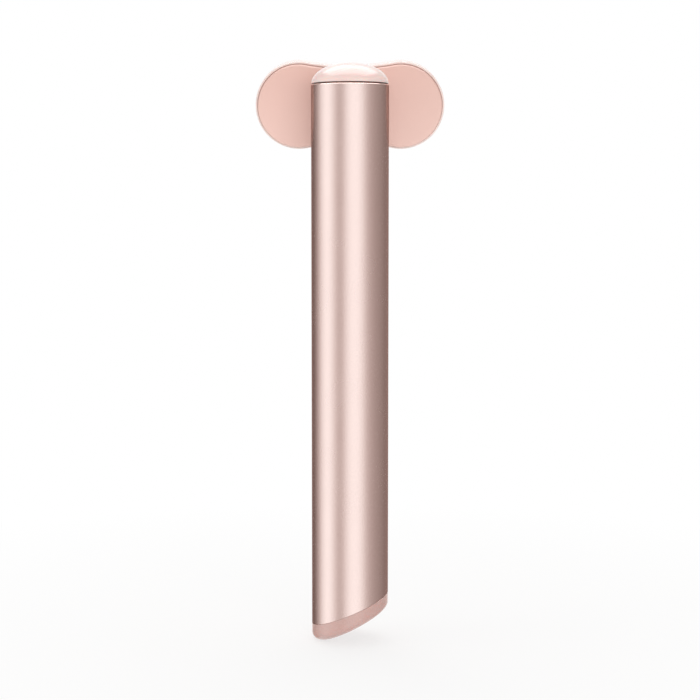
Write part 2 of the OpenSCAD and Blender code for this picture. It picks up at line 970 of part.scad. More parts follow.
module housing_screws() {
    color("#A9AAAE")
        for (side = [-1, 1])
            translate([side * base_screw_x, base_screw_y, base_z + base_t])
                screw(base_shank);
}

module pivot_bush() {
    color("#C9A35B")
        on_pivot(housing_back)
            difference() {
                union() {
                    cylinder(r = bush_r, h = bush_front - housing_back);
                    translate([0, 0, bush_front - bush_flange_t - housing_back])
                        cylinder(r = nose_d / 2 - bush_flange_inset, h = bush_flange_t);
                }
                translate([0, 0, -over])
                    cylinder(r = shaft_r + run_gap, h = far);
            }
}

module friction_washer() {
    color("#F0EFEA")
        on_pivot(-washer_gap - washer_t)
            ring(nose_d / 2, shaft_r + slide_gap, washer_t);
}

module wave_washer() {
    color("#B9BBBF")
        on_pivot(wave_back)
            ring(nose_d / 2 - wave_inset, shaft_r + slide_gap, wave_t);
}

module pivot_shaft() {
    color("#C4C6CA")
        on_pivot()
            difference() {
                union() {
                    translate([0, 0, shaft_back])
                        cylinder(r = shaft_r, h = flange_top - shaft_back - flange_t / 2);
                    translate([0, 0, pad_top])
                        cylinder(d = flange_d, h = flange_t);
                }
                translate([0, 0, shaft_back - over])
                    cylinder(d = shaft_bore_d, h = far);
                translate([0, 0, groove_back])
                    ring(shaft_r + over, groove_r, groove_front - groove_back);
                for (i = [0:2])
                    rotate([0, 0, 120 * i + 90])
                        translate([flange_screw_r, 0, pad_top - over])
                            cylinder(r = screw_r + screw_play, h = far);
            }
}

module pivot_screws() {
    color("#A9AAAE")
        on_pivot(flange_top)
            for (i = [0:2])
                rotate([0, 0, 120 * i + 90])
                    translate([flange_screw_r, 0, 0])
                        screw(flange_shank);
}

module retaining_clip() {
    color("#8F9196")
        on_pivot(groove_back + clip_gap)
            difference() {
                ring(shaft_r + clip_wall, groove_r + clip_gap, clip_t);
                translate([-clip_mouth / 2, 0, -over])
                    cube([clip_mouth, far, clip_t + 2 * over]);
            }
}

module head_cable() {
    color("#D9D6D0")
        on_pivot(cable_back)
            cylinder(r = cable_r, h = led_board_z - cover_gap - cable_back);
}

module head_back_cover() {
    color("#EAC7BB")
        on_pivot()
            difference() {
                union() {
                    difference() {
                        lobed(0, 0, cover_t, cover_round, 0);
                        lobed(-cover_wall, cover_floor, cover_t + over);
                    }
                    translate([0, 0, cover_floor / 2])
                        cylinder(r = pad_r, h = pad_top - cover_floor / 2);
                    for (spot = board_posts)
                        translate([spot[0], spot[1], cover_floor / 2])
                            cylinder(r = board_post_r, h = led_board_z - cover_floor / 2 - touch_gap);
                }
                translate([0, 0, -over])
                    cylinder(r = shaft_r + fix_gap, h = far);
                for (i = [0:2])
                    rotate([0, 0, 120 * i + 90])
                        translate([flange_screw_r, 0, pad_hole_floor])
                            cylinder(r = screw_r + touch_gap, h = far);
            }
}

module head_gasket() {
    color("#8E5F57")
        on_pivot()
            difference() {
                lobed(gasket_out, cover_t + touch_gap, rim_back - touch_gap);
                lobed(gasket_lip - cover_wall, cover_t - over, rim_back + over);
            }
}

module head_rim() {
    color("#F8E2DA")
        on_pivot()
            difference() {
                lobed(rim_out, rim_back, rim_front, rim_edge, rim_round);
                lobed(rim_out - rim_wall, rim_back - over, lip_back);
                lobed(rim_out - lip_w, lip_back - over, rim_front + over);
            }
}

module treatment_plate() {
    color("#E6B9A6")
        on_pivot()
            difference() {
                union() {
                    lobed(-plate_edge, plate_back, plate_front, 0, plate_round);
                    lobed(rim_out - rim_wall - plate_lip_gap, plate_back, plate_back + plate_lip_t);
                }
                lobed(-pocket_edge, plate_back - over, plate_front - plate_t);
                for (spot = lens_spots)
                    translate([spot[0], spot[1], 0])
                        cylinder(d = lens_d + 2 * fix_gap, h = far);
            }
}

module heater_film() {
    color("#C77B2E")
        on_pivot()
            difference() {
                lobed(-pocket_edge - film_gap, film_z, film_z + film_t);
                for (spot = lens_spots)
                    translate([spot[0], spot[1], 0])
                        cylinder(r = lens_d / 2 + film_hole_gap, h = far);
            }
}

module thermistor() {
    color("#1E1E20")
        on_pivot(film_z - touch_gap - thermistor_h)
            cylinder(r = thermistor_r, h = thermistor_h);
}

module led_board() {
    color("#F2F2EE")
        on_pivot()
            lobed(rim_out - rim_wall - led_board_gap, led_board_z, led_board_top);
}

module head_leds() {
    color("#F5E9A8")
        on_pivot(led_board_top)
            for (spot = lens_spots)
                translate([spot[0] - led_w / 2, spot[1] - led_w / 2, 0])
                    cube([led_w, led_w, head_led_h]);
}

module light_windows() {
    color("#F6ECEA")
        on_pivot(led_top + led_gap)
            for (spot = lens_spots)
                translate([spot[0], spot[1], 0])
                    cylinder(d = lens_d, h = plate_front - fix_gap - led_top - led_gap);
}

handle_tube();
top_cap();
end_cap();
end_cap_seal();
inner_frame();
frame_cover();
battery_cell();
battery_tabs();
main_board();
board_chips();
board_screws();
switch_body();
status_leds();
light_pipes();
button_bezel();
handle_wires();
charge_socket();
socket_tongue();
charge_board();
motor_can();
motor_sleeve();
motor_shaft();
eccentric_weight();
pivot_housing();
housing_screws();
pivot_bush();
friction_washer();
wave_washer();
button_cap();
switch_plunger();
head_back_cover();
head_gasket();
head_rim();
treatment_plate();
heater_film();
thermistor();
led_board();
head_leds();
light_windows();
pivot_shaft();
pivot_screws();
retaining_clip();
head_cable();
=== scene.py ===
import json
import math

import bmesh
import bpy
import numpy as np
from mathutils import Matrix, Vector


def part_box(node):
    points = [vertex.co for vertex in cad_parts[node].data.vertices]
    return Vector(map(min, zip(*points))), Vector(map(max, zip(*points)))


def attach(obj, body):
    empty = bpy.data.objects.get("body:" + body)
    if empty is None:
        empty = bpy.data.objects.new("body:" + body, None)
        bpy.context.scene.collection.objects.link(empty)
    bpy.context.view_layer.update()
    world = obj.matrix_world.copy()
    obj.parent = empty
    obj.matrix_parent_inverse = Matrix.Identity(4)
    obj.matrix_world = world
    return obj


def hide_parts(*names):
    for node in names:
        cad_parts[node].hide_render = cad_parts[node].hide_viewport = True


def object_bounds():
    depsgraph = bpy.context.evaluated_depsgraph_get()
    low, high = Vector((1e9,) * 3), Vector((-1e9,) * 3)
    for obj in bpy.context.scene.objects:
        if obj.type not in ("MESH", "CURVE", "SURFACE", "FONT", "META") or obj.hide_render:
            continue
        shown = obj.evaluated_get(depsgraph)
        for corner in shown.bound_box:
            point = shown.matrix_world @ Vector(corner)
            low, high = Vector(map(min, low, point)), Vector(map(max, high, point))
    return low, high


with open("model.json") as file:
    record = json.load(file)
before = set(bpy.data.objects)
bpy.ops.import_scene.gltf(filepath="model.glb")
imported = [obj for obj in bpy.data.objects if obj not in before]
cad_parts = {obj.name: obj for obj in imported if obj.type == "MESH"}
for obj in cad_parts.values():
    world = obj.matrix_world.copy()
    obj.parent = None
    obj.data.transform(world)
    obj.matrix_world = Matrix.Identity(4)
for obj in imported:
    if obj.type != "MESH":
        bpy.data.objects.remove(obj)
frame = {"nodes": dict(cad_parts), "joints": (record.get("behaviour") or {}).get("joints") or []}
cad_low, cad_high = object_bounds()

MM = 0.001
MICRON = 0.000001

# ---- Sizes: places come from the frame, the rest are the real sizes ----

tube_low, tube_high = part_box("handle_tube")
TUBE_R = tube_high.x
TUBE_WALL = 1.2 * MM
BORE_R = TUBE_R - TUBE_WALL
TUBE_TOP = tube_high.z
TOP_CHAMFER = 0.3 * MM
SOFT_EDGE = 0.08 * MM
CUT_SLOPE = math.tan(math.radians(22.8))
CUT_Z = tube_low.z + TUBE_R * CUT_SLOPE

# The tube's grid: its columns, its first level row, and the part of it that makes way for each opening
COLUMNS = 288
LIGHT_COLUMNS = 8
WIDE_COLUMNS = 36
FIRST_LEVEL = CUT_Z + 9 * MM
BUTTON_HALF = 7 * MM
NOTCH_MARGIN = 1.8 * MM

TIP_ANGLE = math.radians(27)
TIP_Z = CUT_Z - 4.6 * MM
TIP_ROUND = 2 * MM
TIP_FLOOR = 1.8 * MM
FACE_DOWN = np.array([math.cos(TIP_ANGLE), 0, -math.sin(TIP_ANGLE)])
FACE_ACROSS = np.array([0, 1.0, 0])
FACE_INWARDS = np.array([math.sin(TIP_ANGLE), 0, math.cos(TIP_ANGLE)])
PLUG_R = BORE_R - 0.15 * MM
PLUG_IN_R = PLUG_R - 1.4 * MM
PLUG_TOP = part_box("end_cap")[1].z
seal_low, seal_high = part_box("end_cap_seal")
SEAL_Z = (seal_low.z + seal_high.z) / 2
GROOVE_HALF = 0.6 * MM
GROOVE_R = BORE_R - 1.07 * MM
PORT_MIDDLE = np.array([0, 0, TIP_Z]) - 1.2 * MM * FACE_DOWN
PORT_W = 8.94 * MM
PORT_H = 3.26 * MM
PORT_DEPTH = 7.3 * MM
PORT_RECESS = 0.3 * MM
PORT_GAP = 0.1 * MM
SHELL_WALL = 0.3 * MM

cap_low, cap_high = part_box("top_cap")
CAP_R = cap_high.x
CAP_TOP = cap_high.z
CAP_SEAM = 0.25 * MM
SEAM_DEPTH = 0.5 * MM
CAP_WALL = 1.3 * MM
SKIRT_LOW = cap_low.z
CAP_NOTCH = 5.4 * MM

button_low, button_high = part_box("button_cap")
bezel_low, bezel_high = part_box("button_bezel")
BUTTON_Z = (button_low.z + button_high.z) / 2
BUTTON_FLANGE_R = (button_high.z - button_low.z) / 2
BUTTON_R = 4.25 * MM
BUTTON_HOLE_R = 5.2 * MM
BEZEL_IN_R = 4.35 * MM
BEZEL_OUT_R = (bezel_high.z - bezel_low.z) / 2

pipe_low, pipe_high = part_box("light_pipes")
LIGHT_R = pipe_high.x
LIGHT_PITCH = (pipe_high.z - pipe_low.z - 2 * LIGHT_R) / 2
LIGHTS = [pipe_low.z + LIGHT_R + i * LIGHT_PITCH for i in range(3)]
LIGHT_HOLE_R = LIGHT_R + 0.05 * MM

swivel = next(joint for joint in frame["joints"] if joint["name"] == "head_swivel")
PIVOT = np.array(swivel["pos_m"])
OUT = np.array(swivel["axis"]) / np.linalg.norm(swivel["axis"])
ACROSS = np.array([1.0, 0.0, 0.0])
UP = np.cross(OUT, ACROSS)
NOTCH_R = 5 * MM
NOTCH_Z = PIVOT[2] - 0.4 * MM

# The head's sizes. Its levels run along the pivot axis, from its back towards its face
cover_low, cover_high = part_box("head_back_cover")
LOBE_R = 10.8 * MM
LOBE_X = cover_high.x - LOBE_R
WAIST_H = LOBE_R - 1.2 * MM
COVER_T = 1.9 * MM
COVER_ROUND = 0.6 * MM
COVER_WALL = 1.4 * MM
PAD_TOP = 2.6 * MM
PAD_R = 6.6 * MM
SHAFT_HOLE_R = 2.65 * MM
RIM_BACK = 2.2 * MM
RIM_FRONT = 9.6 * MM
RIM_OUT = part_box("head_rim")[1].x - cover_high.x
RIM_IN = RIM_OUT - 1.8 * MM
LIP_BACK = 8 * MM
PLATE_GAP = 0.1 * MM
PLATE_FRONT = 10.2 * MM
PLATE_BACK = 7.5 * MM
PLATE_EDGE = 2.7 * MM
PLATE_ROUND = 0.9 * MM
PLATE_INSET = PLATE_EDGE + PLATE_ROUND
POCKET_EDGE = PLATE_EDGE + 1.5 * MM
POCKET_FLOOR = 9.2 * MM
WINDOW_R = 0.95 * MM
WINDOW_RING_R = 4.8 * MM
WINDOWS_ROUND = 6

# The waist's arcs follow from the lobes: they touch them, and pass WAIST_H above and below the pivot
WAIST_R = (LOBE_X ** 2 + WAIST_H ** 2 - LOBE_R ** 2) / (2 * (LOBE_R - WAIST_H))
WAIST_Y = WAIST_H + WAIST_R
TOUCH = math.atan2(WAIST_Y, -LOBE_X)


# ---- Meshes ----

MERGE_WITHIN = 0.5 * MICRON
COLLAPSE_WITHIN = 0.2 * MICRON
CRISP_FROM = math.radians(30)


def grid_faces(rows, columns, closed):
    """Quads between neighbouring rows of a grid of points kept row by row. A closed grid joins its last
    column to its first."""
    i = np.arange(rows - 1)[:, None] * columns
    j = np.arange(columns if closed else columns - 1)[None, :]
    k = (j + 1) % columns
    return np.stack([i + j, i + k, i + columns + k, i + columns + j], -1).reshape(-1, 4)


def patch(grid, closed=True, material=0, keep=None):
    """A grid of points, rows by columns by xyz, with those of its quads that keep chooses."""
    rows, columns = grid.shape[:2]
    faces = grid_faces(rows, columns, closed)
    if keep is not None:
        faces = faces[keep.ravel()]
    return grid.reshape(-1, 3), faces, material


def strip(loop, other, closed=True, material=0):
    """One row of quads between two loops."""
    return patch(np.stack([loop, other]), closed, material)


def build(name, patches, materials, body, node):
    """Joins patches into one mesh: points that meet merge, faces point outwards, steep edges stay crisp."""
    starts = np.cumsum([0] + [len(points) for points, _, _ in patches])
    points = np.concatenate([points for points, _, _ in patches])
    faces = np.concatenate([faces + start for (_, faces, _), start in zip(patches, starts)])
    finish = np.concatenate([np.full(len(faces), material) for _, faces, material in patches])
    mesh = bpy.data.meshes.new(name)
    mesh.from_pydata(points.tolist(), [], faces.tolist())
    mesh.polygons.foreach_set("material_index", finish.astype(np.int32))
    work = bmesh.new()
    work.from_mesh(mesh)
    bmesh.ops.remove_doubles(work, verts=work.verts, dist=MERGE_WITHIN)
    bmesh.ops.dissolve_degenerate(work, edges=work.edges, dist=COLLAPSE_WITHIN)
    bmesh.ops.recalc_face_normals(work, faces=work.faces)
    work.to_mesh(mesh)
    work.free()
    mesh.polygons.foreach_set("use_smooth", np.ones(len(mesh.polygons), bool))
    mesh.set_sharp_from_angle(angle=CRISP_FROM)
    for material in materials:
        mesh.materials.append(material)
    piece = bpy.data.objects.new(name, mesh)
    bpy.context.scene.collection.objects.link(piece)
    shading = piece.modifiers.new("flat_faces_shade_flat", "WEIGHTED_NORMAL")
    shading.keep_sharp = True
    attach(piece, body)
    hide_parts(node)
    return piece


def arc(centre, radius, start, end, steps=6):
    """Points of an arc in the plane of a profile, from one angle to another in degrees."""
    angle = np.radians(np.linspace(start, end, steps + 1))
    return [(centre[0] + radius * math.cos(a), centre[1] + radius * math.sin(a)) for a in angle]


def turned(profile, place, steps):
    """A closed profile of radius and height turned about the height axis: x = r cos a, y = r sin a."""
    r, h = np.array(profile + profile[:1]).T
    a = np.linspace(0, 2 * np.pi, steps, endpoint=False)
    return patch(place(r[:, None] * np.cos(a), r[:, None] * np.sin(a), h[:, None] + 0 * a))


def domed_rod(radius, front, back, dome, soft, steps):
    """Profile of a rod with a low dome, front - dome (r / radius)^2, and a softened edge."""
    radii = np.linspace(0.1 * radius, radius - soft, steps)
    profile = [(0, front)] + [(r, front - dome * (r / radius) ** 2) for r in radii]
    return profile + [(radius, front - dome - soft), (radius, back), (0, back)]


def on_front(level):
    """Places x across, y up and a distance towards the front, about a level of the handle."""
    return lambda x, y, h: np.stack([x, -h, level + y], -1)


def on_pivot(x, y, t):
    """Places x across and y up the head, and the level t along the pivot axis."""
    return PIVOT + x[..., None] * ACROSS + y[..., None] * UP + t[..., None] * OUT


def blend_rows(first, last, steps):
    """Rows that run straight from each point of one loop to its fellow on another."""
    share = np.linspace(0, 1, steps + 1)[:, None, None]
    return first * (1 - share) + last * share


# ---- Handle ----

def tube_sheet(radius, outside):
    """One wall of the tube: x = r sin a and y = -r cos a over angle and height, with the button's hole,
    the three light holes and the pivot's notch left out of the grid. Round each of them, rings run from
    the grid's edge to the opening. The lower row follows the oblique cut."""
    middle = COLUMNS // 2
    around = np.arange(-middle, middle) * (2 * math.pi / COLUMNS)
    soft = SOFT_EDGE if outside else 0
    low = CUT_Z - radius * np.sin(around) * CUT_SLOPE
    above = low + SOFT_EDGE
    sloping = [low, above] + [above + (FIRST_LEVEL - above) * share for share in (0.25, 0.5, 0.75)]
    light_half = LIGHT_PITCH / 2
    button_span = (BUTTON_Z - BUTTON_HALF, BUTTON_Z + BUTTON_HALF)
    notch_low = NOTCH_Z - NOTCH_R - NOTCH_MARGIN
    levels = np.concatenate([
        np.linspace(FIRST_LEVEL, LIGHTS[0] - light_half, 11)[:-1],
        np.linspace(LIGHTS[0] - light_half, LIGHTS[2] + light_half, 25),
        np.linspace(*button_span, 15),
        np.linspace(button_span[1], notch_low, 6)[1:-1],
        np.linspace(notch_low, NOTCH_Z, 9),
        np.linspace(NOTCH_Z, TUBE_TOP - TOP_CHAMFER, 7)[1:],
        [TUBE_TOP],
    ])
    row_of = {round(h / MICRON): i + len(sloping) for i, h in enumerate(levels)}
    z = np.concatenate([sloping, levels[:, None] + 0 * around])
    angle = np.broadcast_to(around, z.shape)
    inset = np.zeros_like(z)
    inset[0] = soft
    inset[-1] = TOP_CHAMFER if outside else 0
    keep = np.ones((len(z) - 1, COLUMNS), bool)

    def wall(a, h, d):
        return np.stack([(radius - d) * np.sin(a), -(radius - d) * np.cos(a), h], -1)

    def block_edge(first, last, bottom, top, to_top):
        """Indices of a block's edge: down its left side, along the bottom, up the right side, and back
        along the top unless it is open there."""
        down, up = np.arange(top, bottom, -1), np.arange(bottom, top + to_top)
        right, left = np.arange(first, last), np.arange(last, first, -1)
        sides = [(down, first + 0 * down), (bottom + 0 * right, right), (up, last + 0 * up)]
        if not to_top:
            sides.append((top + 0 * left, left))
        return tuple(np.concatenate(side) for side in zip(*sides))

    def cut_out(columns, low_z, high_z, centre_z, hole_r, to_top=False):
        """Takes a block out of the grid. Returns the rings that fill it round a hole, or round a U whose
        sides run straight to the top."""
        first, last = middle - columns, middle + columns
        bottom, top = row_of[round(low_z / MICRON)], row_of[round(high_z / MICRON)]
        keep[bottom:top, first:last] = False
        path = block_edge(first, last, bottom, top, to_top)
        a, h, d = angle[path], z[path], inset[path]
        aim = np.arctan2(h - centre_z, TUBE_R * np.sin(a))
        rings = []
        for r, rim in ((hole_r + SOFT_EDGE, 0), (hole_r, soft)):
            x, y = r * np.cos(aim), centre_z + r * np.sin(aim)
            if to_top:
                side = h >= centre_z - MICRON
                x, y = np.where(side, np.sign(a) * r, x), np.where(side, h, y)
            rings.append(np.stack([np.arcsin(x / radius), y, d + rim], -1))
        rows = blend_rows(np.stack([a, h, d], -1), rings[0], 9)
        rows = np.concatenate([rows, rings[1][None]])
        return wall(rows[..., 0], rows[..., 1], rows[..., 2])

    holes = [cut_out(LIGHT_COLUMNS, at - light_half, at + light_half, at, LIGHT_HOLE_R) for at in LIGHTS]
    holes.append(cut_out(WIDE_COLUMNS, *button_span, BUTTON_Z, BUTTON_HOLE_R))
    notch = cut_out(WIDE_COLUMNS, notch_low, TUBE_TOP, NOTCH_Z, NOTCH_R, to_top=True)
    grid = wall(angle, z, inset)
    top = np.roll(grid[-1], -middle - WIDE_COLUMNS, axis=0)[:COLUMNS - 2 * WIDE_COLUMNS + 1]
    return {"grid": grid, "keep": keep, "holes": holes, "notch": notch, "top": top}


def make_handle_tube():
    """The outer and inner walls of the tube, joined along the cut, the top, the holes and the notch."""
    outer, inner = tube_sheet(TUBE_R, True), tube_sheet(BORE_R, False)
    chamfer = np.zeros(outer["keep"].shape, bool)
    chamfer[-1] = True
    patches = []
    for sheet, top_finish in ((outer, 1), (inner, 0)):
        patches.append(patch(sheet["grid"], keep=sheet["keep"] & ~chamfer))
        patches.append(patch(sheet["grid"], keep=sheet["keep"] & chamfer, material=top_finish))
        patches += [patch(hole) for hole in sheet["holes"]]
        patches.append(patch(sheet["notch"], closed=False))
    patches.append(strip(outer["grid"][0], inner["grid"][0]))
    patches.append(strip(outer["top"], inner["top"], closed=False, material=1))
    patches += [strip(a[-1], b[-1]) for a, b in zip(outer["holes"], inner["holes"])]
    patches.append(strip(outer["notch"][-1], inner["notch"][-1], closed=False))
    for end in (0, -1):
        patches.append(strip(outer["notch"][:, end], inner["notch"][:, end], closed=False, material=1))
    finishes = [blasted_aluminium, cut_aluminium]
    return build("rose_handle_tube", patches, finishes, "handle", "handle_tube")


def make_top_cap():
    """A quarter ellipse turned into a dome, with a rounded lower edge, the neck of the shadow gap and a
    skirt inside the tube. The neck is coloured dark brown as painted shade for the gap. The skirt's lower
    rows rise to the neck where the pivot passes."""
    base = TUBE_TOP + CAP_SEAM
    rise = CAP_TOP - base
    soft = 0.12 * MM
    inner_r, inner_rise = PLUG_R - CAP_WALL, rise - CAP_WALL
    neck_r = CAP_R - SEAM_DEPTH
    dome_turn, hollow_turn = np.radians(np.linspace(90, 2, 40)), np.radians(np.linspace(0, 90, 16))
    dome = [(CAP_R * math.cos(t), base + rise * math.sin(t)) for t in dome_turn]
    dome += arc((CAP_R - soft, base + soft), soft, 0, -90, 4)
    neck = [(neck_r, base), (neck_r, TUBE_TOP), (PLUG_R, TUBE_TOP)]
    skirt = [(PLUG_R, SKIRT_LOW), (inner_r, SKIRT_LOW)]
    hollow = [(inner_r * math.cos(t), base + inner_rise * math.sin(t)) for t in hollow_turn]
    profile = dome + neck + skirt + hollow
    r, h = np.array(profile + profile[:1]).T
    edge = math.asin(CAP_NOTCH / PLUG_R)
    notch_sides = [-edge - 0.001, -edge, edge, edge + 0.001]
    around = np.sort(np.concatenate([np.linspace(-np.pi, np.pi, 241)[:-1], notch_sides]))
    cut_away = np.isclose(h, SKIRT_LOW)[:, None] & (np.abs(around) <= edge)
    level = np.where(cut_away, TUBE_TOP, h[:, None] + 0 * around)
    grid = np.stack([r[:, None] * np.sin(around), -r[:, None] * np.cos(around), level], -1)
    in_gap = np.zeros((len(r) - 1, len(around)), bool)
    in_gap[len(dome) - 1:len(dome) - 1 + len(neck)] = True
    # The neck's faces take the dark brown painted shade of the gap.
    patches = [patch(grid, keep=~in_gap), patch(grid, keep=in_gap, material=1)]
    return build("domed_top_cap", patches, [pearl_abs, painted_gap_shade], "handle", "top_cap")


def port_loop(aim, grow, depth):
    """The port's outline, a slot with round ends grown by grow, in the directions aim from its middle and
    at a depth into the handle."""
    r = PORT_H / 2 + grow
    half = (PORT_W - PORT_H) / 2
    reach = r / np.maximum(np.abs(np.cos(aim)), 1e-9)
    on_side = reach * np.abs(np.sin(aim)) <= half
    inside = np.maximum(r * r - (half * np.cos(aim)) ** 2, 0)
    reach = np.where(on_side, reach, half * np.abs(np.sin(aim)) + np.sqrt(inside))[:, None]
    along = np.cos(aim)[:, None] * FACE_DOWN + np.sin(aim)[:, None] * FACE_ACROSS
    return PORT_MIDDLE + reach * along + depth * FACE_INWARDS


def make_end_cap():
    """Loops round the cap: the band below the oblique cut, a ball of TIP_ROUND rolled along its edge, the
    slanted face, the port's mouth with a softened edge, the hollow inside, and the plug with its seal
    groove."""
    around = np.linspace(0, 2 * np.pi, 240, endpoint=False)
    c, s = np.cos(around), np.sin(around)
    slope = math.tan(TIP_ANGLE)
    lift = 1 / math.cos(TIP_ANGLE)

    def ring(r, z):
        return np.stack([r * c, r * s, z + 0 * c], -1)

    def cut_ring(r, below=0.0):
        return ring(r, CUT_Z - below - r * c * CUT_SLOPE)

    def slanted_ring(r, depth):
        return ring(r, TIP_Z + depth * lift - r * c * slope)

    ball = slanted_ring(TUBE_R - TIP_ROUND, TIP_ROUND)
    out = ring(1, 0)
    turn = np.arccos(out @ -FACE_INWARDS)[:, None]
    rolled = [
        ball + TIP_ROUND * (np.sin((1 - k) * turn) * out - np.sin(k * turn) * FACE_INWARDS) / np.sin(turn)
        for k in np.linspace(0, 1, 13)
    ]
    wall_top = cut_ring(TUBE_R, SOFT_EDGE)
    rows = [cut_ring(PLUG_R), cut_ring(TUBE_R - SOFT_EDGE), wall_top, (wall_top + rolled[0]) / 2, *rolled]
    seen = rolled[-1] - PORT_MIDDLE
    aim = np.arctan2(seen[:, 1], seen @ FACE_DOWN)
    soft = 0.2 * MM
    rows += list(blend_rows(rolled[-1], port_loop(aim, PORT_GAP + 1.5 * soft, 0), 5))[1:]
    rows += [port_loop(aim, PORT_GAP + grow, depth) for grow, depth in arc((soft, soft), soft, 270, 180, 5)]
    rows += [port_loop(aim, PORT_GAP, TIP_FLOOR), slanted_ring(PLUG_IN_R, TIP_FLOOR)]
    rows += [ring(PLUG_IN_R, PLUG_TOP), ring(PLUG_R - SOFT_EDGE, PLUG_TOP)]
    rows += [ring(PLUG_R, PLUG_TOP - SOFT_EDGE), ring(PLUG_R, SEAL_Z + GROOVE_HALF)]
    rows += [ring(GROOVE_R, SEAL_Z + GROOVE_HALF), ring(GROOVE_R, SEAL_Z - GROOVE_HALF)]
    rows += [ring(PLUG_R, SEAL_Z - GROOVE_HALF), cut_ring(PLUG_R)]
    loops = [patch(np.stack(rows))]
    return build("oblique_end_cap", loops, [satin_abs], "handle", "end_cap")


def make_charge_socket():
    """Slot-shaped loops: the drawn steel shell with its rolled front lip, wall and closed back."""
    aim = np.linspace(0, 2 * np.pi, 160, endpoint=False)
    lip = SHELL_WALL / 2
    half = PORT_H / 2
    back = PORT_RECESS + PORT_DEPTH
    profile = [(-half, back), (0, back)]
    profile += arc((-lip, PORT_RECESS + lip), lip, 0, -180, 8)
    profile += [(-SHELL_WALL, back - SHELL_WALL), (-half, back - SHELL_WALL)]
    rows = [port_loop(aim, grow, depth) for grow, depth in profile]
    patches = [patch(np.stack(rows))]
    for loop in (rows[0], rows[-1]):
        patches.append(strip(loop, np.broadcast_to(loop.mean(axis=0), loop.shape)))
    return build("charge_port_shell", patches, [nickel_steel], "handle", "charge_socket")


def disc_on_tube(profile, surface_r):
    """Loops about a line square to the tube, at the button. Each profile point is a radius, a depth and
    whether the depth is measured from the curved surface of surface_r (1) or is a distance from the
    handle's axis (0)."""
    r, depth, curved = np.array(profile).T[:, :, None]
    a = np.linspace(0, 2 * np.pi, 160, endpoint=False)
    x, y = r * np.cos(a), r * np.sin(a)
    surface = np.sqrt(surface_r ** 2 - x ** 2)
    return patch(on_front(BUTTON_Z)(x, y, np.where(curved > 0.5, surface - depth, depth + 0 * x)))


def make_button():
    """The cap follows the tube's curve, with a shallow dish for the fingertip, depth (1 + cos(pi r /
    dish_r)) / 2, a rounded edge, a flange and a stem."""
    soft = 0.35 * MM
    dish_r, dish_depth = 3.3 * MM, 0.16 * MM
    flange_front, flange_back = 6.6 * MM, 6 * MM
    stem_r, stem_back = 1.4 * MM, -button_high.y
    dish = [
        (r, dish_depth * (0.5 + 0.5 * math.cos(math.pi * min(r / dish_r, 1))), 1)
        for r in np.linspace(0, BUTTON_R - soft, 26)
    ]
    edge = [(r, -d, 1) for r, d in arc((BUTTON_R - soft, -soft), soft, 90, 0, 6)]
    body = [(BUTTON_R, flange_front, 0), (BUTTON_FLANGE_R, flange_front, 0)]
    body += [(BUTTON_FLANGE_R, flange_back, 0), (stem_r, flange_back, 0)]
    body += [(stem_r, stem_back, 0), (0, stem_back, 0)]
    grid = disc_on_tube(dish + edge + body, -button_low.y)
    return build("power_button_cap", [grid], [button_abs], "power_button", "button_cap")


def make_bezel():
    """A ring that follows the tube's curve, with a rounded outer edge and a bevel down to the button."""
    back = 7 * MM
    soft = 0.18 * MM
    bevel = 1.6 * soft
    outer = [(r, -d, 1) for r, d in arc((BEZEL_OUT_R - soft, -soft), soft, 0, 90, 5)]
    inner = [(r, -d, 1) for r, d in arc((BEZEL_IN_R + bevel, -bevel), bevel, 90, 180, 6)]
    profile = [(BEZEL_OUT_R, back, 0)] + outer + inner + [(BEZEL_IN_R, back, 0), (BEZEL_OUT_R, back, 0)]
    grid = disc_on_tube(profile, -bezel_low.y)
    return build("button_bezel_ring", [grid], [rose_plating], "handle", "button_bezel")


def make_light_pipes():
    """Three turned rods with slightly domed fronts."""
    profile = domed_rod(LIGHT_R, -pipe_low.y, -pipe_high.y, 0.06 * MM, 0.08 * MM, 6)
    patches = [turned(profile, on_front(level), 48) for level in LIGHTS]
    return build("status_light_pipes", patches, [polycarbonate], "handle", "light_pipes")


# ---- Head ----

def head_outline():
    """Points of the head's outline and its outward directions. Two lobe arcs of LOBE_R about (+-LOBE_X,
    0) run to where they touch two hollow waist arcs of WAIST_R about (0, +-WAIST_Y)."""
    lobe = np.linspace(-TOUCH, TOUCH, 121)[:-1]
    swing = TOUCH - math.pi / 2
    waist = np.linspace(swing, -swing, 61)[:-1]
    points, directions = [], []
    for side in (1, -1):
        d = np.stack([np.cos(lobe), np.sin(lobe)], -1) * side
        points.append(d * LOBE_R + np.array([side * LOBE_X, 0]))
        directions.append(d)
        d = np.stack([-np.sin(waist), np.cos(waist)], -1) * side
        points.append(np.array([0, side * WAIST_Y]) - d * WAIST_R)
        directions.append(d)
    return np.concatenate(points), np.concatenate(directions)


def head_layer(profile):
    """A closed ring of loops about the head. A profile point is a kind, a size and a level: "edge" is the
    outline moved outwards by the size, and "round" a circle of that radius about the pivot."""
    points, directions = head_outline()
    aim = np.arctan2(points[:, 1], points[:, 0])
    rows = []
    for kind, size, level in profile + profile[:1]:
        if kind == "edge":
            loop = points + size * directions
        else:
            loop = size * np.stack([np.cos(aim), np.sin(aim)], -1)
        rows.append(on_pivot(loop[:, 0], loop[:, 1], level + 0 * aim))
    return patch(np.stack(rows))


def edge_arc(grow, level, radius, start, end, steps):
    """Profile points of an arc about an offset and a level."""
    return [("edge", g, t) for g, t in arc((grow, level), radius, start, end, steps)]


